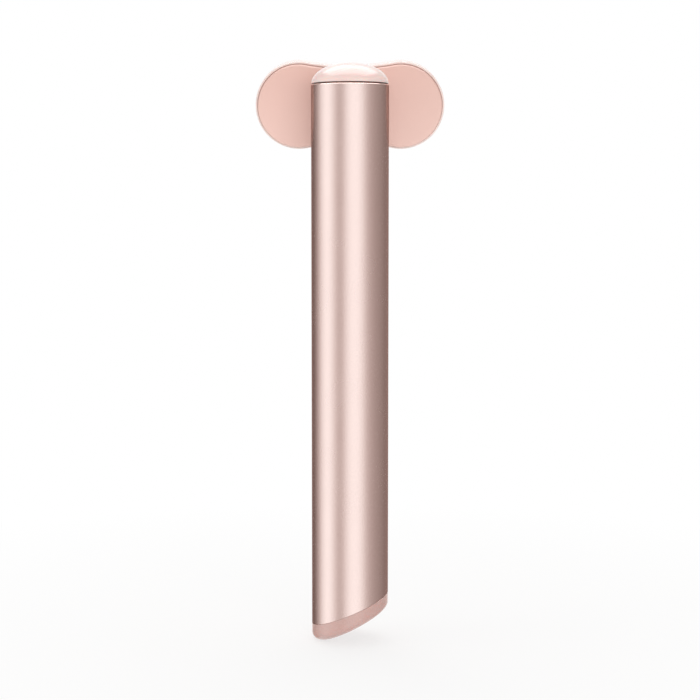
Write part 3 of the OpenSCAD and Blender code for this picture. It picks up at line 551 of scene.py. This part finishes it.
def make_back_cover():
    """The cover's shell: flat back, rounded edge, side, wall, floor and the pad round the pivot."""
    soft = 0.15 * MM
    profile = [("round", SHAFT_HOLE_R, PAD_TOP), ("round", SHAFT_HOLE_R, soft)]
    profile += [("round", SHAFT_HOLE_R + soft, 0), ("round", SHAFT_HOLE_R + 4 * soft, 0)]
    profile += [("edge", -COVER_ROUND - 2 * soft, 0)]
    profile += edge_arc(-COVER_ROUND, COVER_ROUND, COVER_ROUND, 270, 360, 12)
    profile += edge_arc(-soft, COVER_T - soft, soft, 0, 90, 3)
    profile += [("edge", -COVER_WALL, COVER_T), ("edge", -COVER_WALL, COVER_WALL)]
    profile += [("round", PAD_R, COVER_WALL), ("round", PAD_R, PAD_TOP)]
    layers = [head_layer(profile)]
    return build("two_lobed_back_cover", layers, [blush_abs], "head", "head_back_cover")


def make_gasket():
    """A thin band in the seam between the cover and the rim, with a blunt outer edge."""
    low, high = COVER_T + 0.02 * MM, RIM_BACK - 0.02 * MM
    outer, inner = 0.25 * MM, -1.3 * MM
    shoulder = outer - 0.05 * MM
    profile = [("edge", inner, low), ("edge", shoulder, low), ("edge", outer, (low + high) / 2)]
    profile += [("edge", shoulder, high), ("edge", inner, high)]
    return build("seam_gasket", [head_layer(profile)], [silicone], "head", "head_gasket")


def make_rim():
    """The rim: rounded back edge, side, large front rounding, lip, and the opening round the plate."""
    back_round, front_round, soft = 0.25 * MM, 1.4 * MM, 0.15 * MM
    opening = PLATE_GAP - PLATE_EDGE
    profile = edge_arc(RIM_OUT - back_round, RIM_BACK + back_round, back_round, -90, 0, 4)
    profile += edge_arc(RIM_OUT - front_round, RIM_FRONT - front_round, front_round, 0, 90, 12)
    profile += [("edge", RIM_OUT - front_round - 0.2 * MM, RIM_FRONT)]
    profile += edge_arc(opening + soft, RIM_FRONT - soft, soft, 90, 180, 4)
    profile += [("edge", opening, LIP_BACK), ("edge", RIM_IN, LIP_BACK), ("edge", RIM_IN, RIM_BACK)]
    return build("glossy_head_rim", [head_layer(profile)], [gloss_abs], "head", "head_rim")


def lobe_rays():
    """Directions from a lobe's middle, one for each column of the plate's patches, and which of them meet
    the line that halves the head. Two of them look at the corners between that line and the plate's
    waist."""
    aims = np.linspace(-np.pi, np.pi, 145)[:-1]
    corner = math.pi - math.atan2(WAIST_H - PLATE_INSET, LOBE_X)
    for target in (corner, -corner):
        aims[np.argmin(np.abs(aims - target))] = target
    return aims, np.abs(aims) > corner + 1e-6


def plate_boundary(aims, on_line):
    """Outline points of the head that the rays meet through the plate's flat face, and their outward
    directions. A ray meets the lobe's arc, or the waist's arc, or the line that halves the head."""
    middle = np.array([LOBE_X, 0.0])
    unit = np.stack([np.cos(aims), np.sin(aims)], -1)
    sign = np.sign(aims) + (aims == 0)
    waist = np.stack([0 * aims, sign * WAIST_Y], -1)
    start = middle - waist
    b = np.sum(start * unit, -1)
    reach = -b - np.sqrt(np.maximum(b * b - np.sum(start * start, -1) + (WAIST_R + PLATE_INSET) ** 2, 0))
    hit = middle + reach[:, None] * unit
    inwards = waist - hit
    hollow = inwards / np.linalg.norm(inwards, axis=-1, keepdims=True)
    on_lobe = (np.abs(aims) <= TOUCH)[:, None]
    directions = np.where(on_lobe, unit, hollow)
    edge = np.where(on_lobe, middle + unit * (LOBE_R - PLATE_INSET), hit)
    halving = np.stack([0 * aims, -LOBE_X / np.minimum(np.cos(aims), -1e-6) * np.sin(aims)], -1)
    points = np.where(on_line[:, None], halving, edge + PLATE_INSET * directions)
    return points, np.where(on_line[:, None], 0, directions)


def plate_sheet(level, inset, hole_soft):
    """The plate's face, or the floor of its pocket, as grids about the middle of one lobe: rings round
    the middle hole, one cell of rings round each of the others, and rays out to the plate's outline, in
    this order."""
    aims, on_line = lobe_rays()
    points, directions = plate_boundary(aims, on_line)
    narrow = (WAIST_H - inset) / (WAIST_H - PLATE_INSET)
    boundary = np.where(on_line[:, None], points * narrow, points - inset * directions)
    near_r, far_r = 2.5 * MM, 6.6 * MM
    hole_r = WINDOW_R + 0.05 * MM
    middle = np.array([LOBE_X, 0.0])
    unit = np.stack([np.cos(aims), np.sin(aims)], -1)

    def with_hole(path, centre):
        """Rings from a path to a hole about centre, the last one sunk by hole_soft."""
        aim = np.arctan2(path[:, 1] - centre[1], path[:, 0] - centre[0])
        ray = np.stack([np.cos(aim), np.sin(aim)], -1)
        rows = blend_rows(path, centre + ray * (hole_r + abs(hole_soft)), 5)
        rows = np.concatenate([rows, (centre + ray * hole_r)[None]])
        levels = np.full(rows.shape[:2], level)
        levels[-1] -= hole_soft
        return np.concatenate([rows, levels[..., None]], -1)

    cells = [with_hole(middle + unit * near_r, middle)]
    share = np.linspace(0, 1, 9)[:, None]
    per_cell = len(aims) // WINDOWS_ROUND
    for i in range(WINDOWS_ROUND):
        start = (len(aims) // 2 + i * per_cell - per_cell // 2) % len(aims)
        columns = (start + np.arange(per_cell + 1)) % len(aims)
        first, last = unit[columns[0]], unit[columns[-1]]
        path = np.concatenate([
            unit[columns[:-1]] * near_r,
            (last * (near_r + (far_r - near_r) * share))[:-1],
            unit[columns[::-1][:-1]] * far_r,
            (first * (far_r + (near_r - far_r) * share))[:-1],
        ])
        turn = 2 * math.pi * i / WINDOWS_ROUND
        centre = middle + WINDOW_RING_R * np.array([math.cos(turn), math.sin(turn)])
        cells.append(with_hole(middle + path, centre))
    rays = blend_rows(middle + unit * far_r, boundary, 6)
    cells.append(np.concatenate([rays, np.full(rays.shape[:2], level)[..., None]], -1))
    return cells


def make_treatment_plate():
    """Both lobes of the plate: face, pocket, the walls of the window holes, rounded edge and flange."""
    aims, on_line = lobe_rays()
    points, directions = plate_boundary(aims, on_line)
    points, directions = points[~on_line], directions[~on_line]
    flange_front = PLATE_BACK + 0.45 * MM
    flange_edge = RIM_IN - 0.1 * MM
    profile = arc((-PLATE_INSET, PLATE_FRONT - PLATE_ROUND), PLATE_ROUND, 90, 0, 8)
    profile += [(-PLATE_EDGE, flange_front), (flange_edge, flange_front), (flange_edge, PLATE_BACK)]
    profile += [(-POCKET_EDGE, PLATE_BACK), (-POCKET_EDGE, POCKET_FLOOR)]
    edge = np.stack([
        np.concatenate([points + grow * directions, np.full((len(points), 1), level)], -1)
        for grow, level in profile
    ])
    front = plate_sheet(PLATE_FRONT, PLATE_INSET, 0.1 * MM)
    back = plate_sheet(POCKET_FLOOR, POCKET_EDGE, 0)
    walls = [np.stack([a[-1], b[-1]]) for a, b in zip(front[:-1], back[:-1])]
    patches = []
    for side in (1, -1):
        for grid in front + back + walls + [edge]:
            placed = on_pivot(side * grid[..., 0], grid[..., 1], grid[..., 2])
            patches.append(patch(placed, closed=grid is not edge))
    finish, slot = [rose_plating], "plated_rose_metal"
    return build("polished_treatment_plate", patches, finish, "head", "treatment_plate")


def make_light_windows():
    """Fourteen turned rods with low domes, flush with the plate."""
    front, back = PLATE_FRONT - 0.02 * MM, PLATE_FRONT - 2.9 * MM
    profile = domed_rod(WINDOW_R, front, back, 0.12 * MM, 0.1 * MM, 7)
    patches = []
    for side in (1, -1):
        for i in range(WINDOWS_ROUND + 1):
            r = WINDOW_RING_R if i else 0
            x0 = side * LOBE_X + r * math.cos(2 * math.pi * i / WINDOWS_ROUND)
            y0 = r * math.sin(2 * math.pi * i / WINDOWS_ROUND)
            patches.append(turned(profile, lambda x, y, h: on_pivot(x + x0, y + y0, h), 40))
    return build("light_window_rods", patches, [polycarbonate], "head", "light_windows")


# ---- Materials ----

# The whole range of a pattern, and the span that noise hardly leaves
FULL = (0.0, 1.0)
NOISE = (0.3, 0.7)


def linear(code):
    """Linear colour of an sRGB hex value."""
    values = [int(code[i:i + 2], 16) / 255 for i in (1, 3, 5)]
    return [v / 12.92 if v <= 0.04045 else ((v + 0.055) / 1.055) ** 2.4 for v in values] + [1.0]


def feed(tree, node, inputs):
    """Gives a node its inputs: each is a value, or the output of another node."""
    for name, value in inputs.items():
        socket = node.inputs[name]
        if isinstance(value, bpy.types.NodeSocket):
            tree.links.new(value, socket)
        else:
            socket.default_value = value


def add(tree, kind, inputs=None, **settings):
    """Adds a node with its settings and inputs."""
    node = tree.nodes.new("ShaderNode" + kind)
    for name, value in settings.items():
        setattr(node, name, value)
    feed(tree, node, inputs or {})
    return node


def start_material(name):
    """An empty material with its shader, its output and the object's own coordinates in millimetres."""
    material = bpy.data.materials.new(name)
    material.use_nodes = True
    tree = material.node_tree
    tree.nodes.clear()
    shader = add(tree, "BsdfPrincipled")
    add(tree, "OutputMaterial", {"Surface": shader.outputs[0]})
    place = add(tree, "TexCoord").outputs["Object"]
    millimetres = add(tree, "Mapping", {"Vector": place, "Scale": (1 / MM, 1 / MM, 1 / MM)}).outputs[0]
    return material, tree, shader, millimetres


def dress(tree, shader, tints=None, gloss=None, relief=None, **values):
    """Puts a finish on a shader. tints is a share and the two colours that it mixes. gloss is a pattern,
    its span and the roughness at both ends. relief is a pattern, its strength and its depth in metres. In
    the names of the other values an underscore stands for a space."""
    inputs = {name.replace("_", " "): value for name, value in values.items()}
    if tints:
        share, one, other = tints
        mixed = add(tree, "Mix", {"Factor": share, "A": linear(one), "B": linear(other)}, data_type="RGBA")
        inputs["Base Color"] = mixed.outputs["Result"]
    if gloss:
        pattern, (low, high), (smooth, rough) = gloss
        span = {"From Min": low, "From Max": high, "To Min": smooth, "To Max": rough}
        inputs["Roughness"] = add(tree, "MapRange", {"Value": pattern, **span}).outputs[0]
    if relief:
        pattern, strength, depth = relief
        bump = add(tree, "Bump", {"Height": pattern, "Strength": strength, "Distance": depth})
        inputs["Normal"] = bump.outputs[0]
    feed(tree, shader, inputs)


def grained(name, grain_mm, detail, tints=None, gloss=None, relief=None, **values):
    """A material with one even grain, which mixes its tints and drives its gloss and its relief."""
    material, tree, shader, mm = start_material(name)
    grain = add(tree, "TexNoise", {"Vector": mm, "Scale": 1 / grain_mm, "Detail": detail}).outputs["Fac"]
    led = [finish and (grain, *finish) for finish in (tints, gloss, relief)]
    dress(tree, shader, *led, **values)
    return material


def blasted_aluminium_finish():
    """Aluminium 6063, extruded, bead-blasted and anodised rose gold: a broad soft sheen over a peened
    grain, darker where the dyed film is seen at a slant. The real dents are about 0.1 mm across, too fine
    to show, so they are drawn 0.45 mm across."""
    material, tree, shader, mm = start_material("bead_blasted_rose_anodised_aluminium")
    peening = {"Vector": mm, "Scale": 1 / 0.45, "Detail": 1.0, "Roughness": 0.6}
    dents = add(tree, "TexNoise", peening).outputs["Fac"]
    pits = add(tree, "TexNoise", {"Vector": mm, "Scale": 1 / 0.4, "Detail": 1.0}).outputs["Fac"]
    cloud = add(tree, "TexNoise", {"Vector": mm, "Scale": 1 / 9, "Detail": 2.0}).outputs["Fac"]
    share = add(tree, "MapRange", {"Value": pits, "From Min": NOISE[0], "From Max": NOISE[1]}).outputs[0]
    dress(
        tree, shader, tints=(share, "#DBC9C4", "#DECCC7"), gloss=(cloud, NOISE, (0.24, 0.28)),
        relief=(dents, 0.35, 0.05 * MM), Metallic=1.0, Specular_Tint=linear("#A5918C"),
    )
    return material


def cut_aluminium_finish():
    """The same aluminium, diamond-turned after blasting: a bright line with the finest turning marks."""
    return grained(
        "diamond_cut_rose_anodised_aluminium", 0.05, 1.0, gloss=(FULL, (0.08, 0.2)),
        Base_Color=linear("#EEDCD6"), Metallic=1.0,
    )


def moulded_abs(name, tints, roughness, grain_mm, depth, subsurface=0.0, coat=0.0, pearl=0.0, painted_top_shade=None):
    """Injection-moulded ABS: slow drift between two close tints, and the fine texture of its mould, of a
    depth in metres. The last argument gives two heights in millimetres, between which the tint darkens
    towards the top. This is painted shade, mixed with a little of the drift."""
    material, tree, shader, mm = start_material(name)
    drift = add(tree, "TexNoise", {"Vector": mm, "Scale": 1 / 14, "Detail": 2.0}).outputs["Fac"]
    # Painted shade: the tint darkens with height, so the top of the moulding looks shaded.
    if painted_top_shade:
        height = add(tree, "SeparateXYZ", {"Vector": mm}).outputs["Z"]
        rise = add(tree, "MapRange", {"Value": height, "From Min": painted_top_shade[0], "From Max": painted_top_shade[1]})
        drift = add(tree, "Mix", {"Factor": 0.2, "A": rise.outputs[0], "B": drift}).outputs["Result"]
    texture = {"Vector": mm, "Scale": 1 / grain_mm, "Detail": 3.0, "Roughness": 0.55}
    grain = add(tree, "TexNoise", texture).outputs["Fac"]
    dress(
        tree, shader, tints=(drift, *tints), gloss=(grain, NOISE, roughness), relief=(grain, 0.25, depth),
        Subsurface_Weight=subsurface, Subsurface_Scale=1.2 * MM, Subsurface_Radius=(1.0, 0.5, 0.4),
        Coat_Weight=coat, Coat_Roughness=0.06, Sheen_Weight=pearl, Sheen_Roughness=0.35, IOR=1.53,
    )
    return material


def rose_plating_finish():
    """Rose-gold plating over polished alloy: a clear mirror with faint polishing lines."""
    material, tree, shader, mm = start_material("polished_rose_gold_plating")
    stretch = add(tree, "Mapping", {"Vector": mm, "Scale": (0.15, 1.0, 1.0)}).outputs[0]
    lines = add(tree, "TexNoise", {"Vector": stretch, "Scale": 1 / 0.18, "Detail": 4.0}).outputs["Fac"]
    dress(
        tree, shader, gloss=(lines, NOISE, (0.1, 0.17)), relief=(lines, 0.06, 0.01 * MM),
        Base_Color=linear("#E4BDB0"), Metallic=1.0,
    )
    return material


def polycarbonate_finish():
    """Frosted polycarbonate: milky, so that it spreads the light behind it, under a smooth skin."""
    return grained(
        "frosted_polycarbonate", 0.15, 2.0, ("#EDE3DE", "#F7EFEB"), gloss=(FULL, (0.18, 0.32)),
        IOR=1.58, Subsurface_Weight=0.15, Subsurface_Scale=0.4 * MM,
    )


def rubber(name, *tints):
    """Moulded rubber: matt, with a soft sheen at grazing angles and a fine talc-like grain."""
    relief = (0.3, 0.01 * MM)
    return grained(name, 0.12, 3.0, tints, relief=relief, Roughness=0.7, Sheen_Weight=0.15, IOR=1.45)


def circuit_board(name, mask, tracks):
    """Glass-epoxy board: solder mask over copper tracks, which show as thin lines 0.55 mm apart."""
    material, tree, shader, mm = start_material(name)
    lines = add(tree, "TexBrick", {
        "Vector": mm, "Scale": 1.0, "Mortar Size": 0.06, "Mortar Smooth": 0.2, "Brick Width": 1.9,
        "Row Height": 0.55, "Color1": linear(mask), "Color2": linear(mask), "Mortar": linear(tracks),
    })
    weave = add(tree, "TexNoise", {"Vector": mm, "Scale": 1 / 0.4, "Detail": 2.0}).outputs["Fac"]
    dress(
        tree, shader, gloss=(weave, FULL, (0.28, 0.42)), relief=(lines.outputs["Fac"], 0.4, 0.03 * MM),
        Base_Color=lines.outputs["Color"],
    )
    return material


def dull_plastic(name, tints, roughness, grain_mm=0.2):
    """Moulded engineering plastic or epoxy, matt with an even grain."""
    return grained(name, grain_mm, 3.0, tints, relief=(0.2, 0.02 * MM), Roughness=roughness)


def worked_metal(name, colour, roughness, grain_mm):
    """Turned, drawn or sintered metal: roughness and relief follow the grain that the work leaves."""
    return grained(
        name, grain_mm, 4.0, gloss=(NOISE, roughness), relief=(0.15, 0.01 * MM),
        Base_Color=linear(colour), Metallic=1.0,
    )


def shrink_film_finish():
    """Heat-shrunk PVC film over the cell: glossy blue with the faint wrinkles of shrinking."""
    material, tree, shader, mm = start_material("heat_shrunk_blue_film")
    wrinkles = {"Vector": mm, "Scale": 1 / 2.5, "Detail": 3.0, "Distortion": 0.6}
    folds = add(tree, "TexNoise", wrinkles).outputs["Fac"]
    dress(tree, shader, tints=(folds, "#3F739C", "#5C8FB8"), relief=(folds, 0.3, 0.1 * MM), Roughness=0.25)
    return material


def heater_film_finish():
    """Polyimide film with an etched foil track: amber, with the darker bands of the track."""
    material, tree, shader, mm = start_material("polyimide_heater_film")
    bands = add(tree, "TexWave", {"Vector": mm, "Scale": 1 / 1.6}, wave_type="BANDS", bands_direction="X")
    track = bands.outputs["Fac"]
    dress(tree, shader, tints=(track, "#A8632A", "#D98F3C"), relief=(track, 0.3, 0.02 * MM), Roughness=0.3)
    return material


blasted_aluminium = blasted_aluminium_finish()
cut_aluminium = cut_aluminium_finish()
pearl_abs = moulded_abs(
    "pearl_pink_gloss_abs", ("#F8DDD7", "#F6D8D1"), (0.2, 0.28), 0.5, 0.01 * MM,
    subsurface=0.6, coat=0.25, pearl=0.9,
)
# The back cover's tint darkens towards its top as painted shade.
blush_abs = moulded_abs(
    "blush_pink_soft_gloss_abs", ("#F8D4C9", "#E8BFB3"), (0.3, 0.38), 0.3, 0.02 * MM,
    painted_top_shade=(cover_low.z / MM, cover_high.z / MM),
)
gloss_abs = moulded_abs(
    "pale_pink_high_gloss_abs", ("#FAE9E3", "#F8E4DD"), (0.12, 0.18), 0.5, 0.01 * MM,
    subsurface=0.1, coat=0.4,
)
satin_abs = moulded_abs(
    "dusty_pink_satin_abs", ("#D4B0A8", "#CFA9A1"), (0.24, 0.3), 0.25, 0.02 * MM,
    subsurface=0.25, coat=0.6,
)
button_abs = moulded_abs("pale_pink_button_abs", ("#F5D9D1", "#F2D3CA"), (0.22, 0.3), 0.3, 0.01 * MM)
rose_plating = rose_plating_finish()
polycarbonate = polycarbonate_finish()
silicone = rubber("moulded_silicone_rubber", "#BC958B", "#C59E94")
# Painted shade: the top cap's neck is coloured dark brown to stand for the shadow in the gap under the
# dome. There is no real bead there.
painted_gap_shade = rubber("painted_gap_shadow_brown", "#74524A", "#7D5B53")
nickel_steel = worked_metal("nickel_plated_steel", "#C6C7CA", (0.18, 0.3), 0.2)

black_rubber = rubber("moulded_nitrile_rubber", "#242426", "#303032")
frame_abs = dull_plastic("natural_matt_abs", ("#E9E6E0", "#EFECE7"), 0.5)
acetal = dull_plastic("pale_pink_acetal", ("#E8CFC6", "#EDD6CE"), 0.38)
black_epoxy = dull_plastic("black_moulded_epoxy", ("#1D1D20", "#29292C"), 0.45, 0.12)
brown_nylon = dull_plastic("brown_nylon", ("#84584B", "#916556"), 0.5)
led_package = dull_plastic("led_package_plastic", ("#F4EBC0", "#FBF4D6"), 0.2, 0.3)
wire_sleeve = dull_plastic("red_silicone_wire_sleeve", ("#AE352F", "#BC4038"), 0.4, 0.3)
lead_sleeve = dull_plastic("pale_silicone_lead_sleeve", ("#D5D1CA", "#E0DCD6"), 0.4, 0.3)
green_board = circuit_board("green_circuit_board", "#24583F", "#3F7A58")
white_board = circuit_board("white_circuit_board", "#EDEDE8", "#DADAD2")
bronze = worked_metal("oiled_sintered_bronze", "#B8946A", (0.3, 0.45), 0.1)
tungsten = worked_metal("sintered_tungsten_alloy", "#8D8A84", (0.35, 0.5), 0.08)
nickel_strip = worked_metal("spot_welded_nickel_strip", "#CBC9C4", (0.2, 0.35), 0.15)
shrink_film = shrink_film_finish()
heater_foil = heater_film_finish()

# The nodes whose CAD shape stays, by finish
CARRIED_OVER = [
    (black_rubber, ["end_cap_seal", "motor_sleeve"]),
    (frame_abs, ["inner_frame", "frame_cover"]),
    (acetal, ["pivot_housing", "friction_washer"]),
    (shrink_film, ["battery_cell"]),
    (nickel_strip, ["battery_tabs"]),
    (green_board, ["main_board", "charge_board"]),
    (white_board, ["led_board"]),
    (black_epoxy, ["board_chips", "switch_body", "socket_tongue", "thermistor"]),
    (brown_nylon, ["switch_plunger"]),
    (led_package, ["status_leds", "head_leds"]),
    (wire_sleeve, ["handle_wires"]),
    (lead_sleeve, ["head_cable"]),
    (tungsten, ["eccentric_weight"]),
    (nickel_steel, ["motor_can", "motor_shaft", "board_screws", "housing_screws", "pivot_screws"]),
    (nickel_steel, ["pivot_shaft", "retaining_clip", "wave_washer"]),
    (bronze, ["pivot_bush"]),
    (heater_foil, ["heater_film"]),
]
for material, nodes in CARRIED_OVER:
    for node in nodes:
        mesh = frame["nodes"][node].data
        mesh.materials.clear()
        mesh.materials.append(material)

make_handle_tube()
make_top_cap()
make_end_cap()
make_charge_socket()
make_button()
make_bezel()
make_light_pipes()
make_back_cover()
make_gasket()
make_rim()
make_treatment_plate()
make_light_windows()

# ---- Camera: behind the wand, as in the photograph, a little above it and looking down ----

CAMERA_AWAY = 427.5 * MM
CAMERA_Z = 56.2 * MM
CAMERA_DOWN = 5.5

scene = bpy.context.scene
camera = bpy.data.objects.new("camera", bpy.data.cameras.new("camera"))
scene.collection.objects.link(camera)
camera.data.sensor_width = 36
camera.data.lens = 84.86
camera.data.clip_start = 10 * MM
camera.location = (0, CAMERA_AWAY, CAMERA_Z)
camera.rotation_euler = (math.radians(90 - CAMERA_DOWN), 0, math.radians(180))
scene.camera = camera
scene.view_settings.view_transform = "Standard"

# ---- Stage, with its sizes in metres ----

MIDDLE = np.array([0, 0, (cad_low.z + cad_high.z) / 2])

# How bright reflections find the studio's wall: an angle in degrees, seen from above, from the camera's
# side towards -X, and a share of the brightest. Softboxes stand at 12 and -70 and behind the wand, and
# flags between them.
STUDIO_WALL = [
    (-160, 0.6), (-148, 0.3), (-136, 0.18), (-112, 0.38), (-92, 0.82), (-76, 1.0), (-62, 0.97), (-46, 0.70),
    (-36, 0.50), (-24, 0.51), (-12, 0.78), (2, 0.97), (24, 0.98), (38, 0.81), (50, 0.57), (64, 0.44),
    (80, 0.36), (100, 0.31), (124, 0.26), (138, 0.33), (150, 0.55), (165, 0.68), (180, 0.75),
]
WALL_GLOW = 1.45
WALL_R = 0.7
# What white turns to where the wall is darkest
WARM_GREY = (1.0, 0.73, 0.66)

CARD_GLOW = 3.4
CARD_HALF = 0.5
CARD_FRONT, CARD_BACK = -0.68, 0.2
CARD_LIFT = 0.6

FLOOR_HALF = 2.5
# The floor's plain whiteness: its share near the object, and from where to where it rises to all of it
PLAIN_NEAR = 0.72
PLAIN_FROM, PLAIN_TO = 0.06, 0.2
WORLD_FILL = 0.6
SOFTBOX_SIZE = 0.6


def plain_material(name):
    """An empty material of the stage."""
    material = bpy.data.materials.new(name)
    material.use_nodes = True
    material.node_tree.nodes.clear()
    return material, material.node_tree


def stage_piece(name, points, faces, material):
    """A piece of the stage, which isn't part of the object."""
    mesh = bpy.data.meshes.new(name)
    mesh.from_pydata(points.tolist(), [], faces.tolist())
    mesh.materials.append(material)
    piece = bpy.data.objects.new(name, mesh)
    scene.collection.objects.link(piece)
    return piece


def level_sheet(name, half_width, front, back, height, material):
    """A level rectangle from front to back along y."""
    corners = [(-half_width, front), (half_width, front), (half_width, back), (-half_width, back)]
    points = np.array([(x, y, height) for x, y in corners])
    return stage_piece(name, points, np.array([(0, 1, 2, 3)]), material)


def only_in_reflections(piece):
    """Hides a piece from everything but reflections. It lights nothing by itself."""
    piece.visible_camera = False
    piece.visible_diffuse = False
    piece.visible_shadow = False
    piece.visible_transmission = False


def make_studio_wall():
    """A round wall, x = r cos a and y = r sin a, whose brightness changes softly with the direction."""
    material, tree = plain_material("softboxes_and_flags")
    place = add(tree, "TexCoord").outputs["Object"]
    turn = add(tree, "TexGradient", {"Vector": place}, gradient_type="RADIAL")
    ramp = add(tree, "ValToRGB", {"Fac": turn.outputs["Fac"]})
    stops = sorted([((angle + 270) / 360 % 1, level) for angle, level in STUDIO_WALL])
    first, last = stops[0], stops[-1]
    share = (1 - last[0]) / (1 - last[0] + first[0])
    seam = last[1] + (first[1] - last[1]) * share
    stops = [(0.0, seam)] + stops + [(1.0, seam)]
    while len(ramp.color_ramp.elements) < len(stops):
        ramp.color_ramp.elements.new(0.5)
    for element, (where, level) in zip(ramp.color_ramp.elements, stops):
        element.position = where
    for element, (where, level) in zip(ramp.color_ramp.elements, stops):
        element.color = [level * (1 - (1 - c) * (1 - level)) for c in WARM_GREY] + [1.0]
    glow = add(tree, "Emission", {"Color": ramp.outputs["Color"], "Strength": WALL_GLOW})
    add(tree, "OutputMaterial", {"Surface": glow.outputs[0]})
    material.cycles.emission_sampling = "NONE"
    a = np.linspace(0, 2 * np.pi, 96, endpoint=False)
    x, y = WALL_R * np.cos(a), WALL_R * np.sin(a)
    rows = [np.stack([x, y, MIDDLE[2] + side * WALL_R + 0 * a], -1) for side in (-1, 1)]
    points, faces, _ = patch(np.stack(rows))
    only_in_reflections(stage_piece("studio_wall", points, faces, material))


def make_overhead_card():
    """A white card above the object, which lies further towards the head's face."""
    material, tree = plain_material("overhead_softbox")
    glow = add(tree, "Emission", {"Color": (1, 1, 1, 1), "Strength": CARD_GLOW})
    add(tree, "OutputMaterial", {"Surface": glow.outputs[0]})
    material.cycles.emission_sampling = "NONE"
    height = cad_high.z + CARD_LIFT
    only_in_reflections(level_sheet("overhead_card", CARD_HALF, CARD_FRONT, CARD_BACK, height, material))


def seen_directly(tree):
    """One for a ray that shows the background itself, straight, mirrored or through glass, else nought."""
    path = add(tree, "LightPath")
    rays = {0: path.outputs["Is Camera Ray"], 1: path.outputs["Is Glossy Ray"]}
    seen = add(tree, "Math", rays, operation="MAXIMUM").outputs[0]
    rays = {0: seen, 1: path.outputs["Is Transmission Ray"]}
    return add(tree, "Math", rays, operation="MAXIMUM").outputs[0]


def make_floor():
    """A white sweep. It takes the object's shadow near the object, fades to the plain background further
    out, and is clear from below."""
    material, tree = plain_material("white_sweep")
    place = add(tree, "TexCoord").outputs["Object"]
    distance = add(tree, "VectorMath", {0: place}, operation="LENGTH").outputs["Value"]
    rise = {"From Min": PLAIN_FROM, "From Max": PLAIN_TO, "To Min": PLAIN_NEAR, "To Max": 1.0}
    away = add(tree, "MapRange", {"Value": distance, **rise})
    share = add(tree, "Math", {0: away.outputs[0], 1: seen_directly(tree)}, operation="MULTIPLY")
    matt = add(tree, "BsdfDiffuse", {"Color": linear("#F8F7F6")})
    white = add(tree, "Emission", {"Color": (1, 1, 1, 1), "Strength": 1.0})
    sweep = add(tree, "MixShader", {0: share.outputs[0], 1: matt.outputs[0], 2: white.outputs[0]})
    under = add(tree, "NewGeometry").outputs["Backfacing"]
    clear = add(tree, "BsdfTransparent")
    both = add(tree, "MixShader", {0: under, 1: sweep.outputs[0], 2: clear.outputs[0]})
    add(tree, "OutputMaterial", {"Surface": both.outputs[0]})
    floor = level_sheet("floor", FLOOR_HALF, -FLOOR_HALF, FLOOR_HALF, cad_low.z - 0.01 * MM, material)
    floor.visible_glossy = False


def make_world():
    """White for what looks straight at it or mirrors it, and an even fill for the rest."""
    world = bpy.data.worlds.new("studio")
    scene.world = world
    world.use_nodes = True
    tree = world.node_tree
    tree.nodes.clear()
    level = add(tree, "MapRange", {"Value": seen_directly(tree), "To Min": WORLD_FILL, "To Max": 1.0})
    sky = add(tree, "Background", {"Color": (1, 1, 1, 1), "Strength": level.outputs[0]})
    add(tree, "OutputWorld", {"Surface": sky.outputs[0]})


def softbox(name, direction, distance, lift, radiance):
    """A square softbox at a direction in degrees from the camera's side towards -X, aimed at the object's
    middle. Reflections show the studio's wall in its place."""
    light = bpy.data.lights.new(name, "AREA")
    light.shape = "SQUARE"
    light.size = SOFTBOX_SIZE
    light.energy = radiance * math.pi * SOFTBOX_SIZE * SOFTBOX_SIZE
    lamp = bpy.data.objects.new(name, light)
    scene.collection.objects.link(lamp)
    a = math.radians(direction)
    away = Vector((-math.sin(a) * distance, math.cos(a) * distance, lift))
    lamp.location = Vector(MIDDLE) + away
    lamp.rotation_euler = away.to_track_quat("Z", "Y").to_euler()
    lamp.visible_glossy = False


make_floor()
make_world()
make_studio_wall()
make_overhead_card()
softbox("camera_side_softbox", direction=16, distance=0.9, lift=0.05, radiance=2.85)
softbox("left_softbox", direction=-75, distance=0.9, lift=0.15, radiance=1.2)
softbox("face_side_softbox", direction=200, distance=0.9, lift=0.2, radiance=0.9)
softbox("top_softbox", direction=180, distance=0.3, lift=0.8, radiance=2.0)
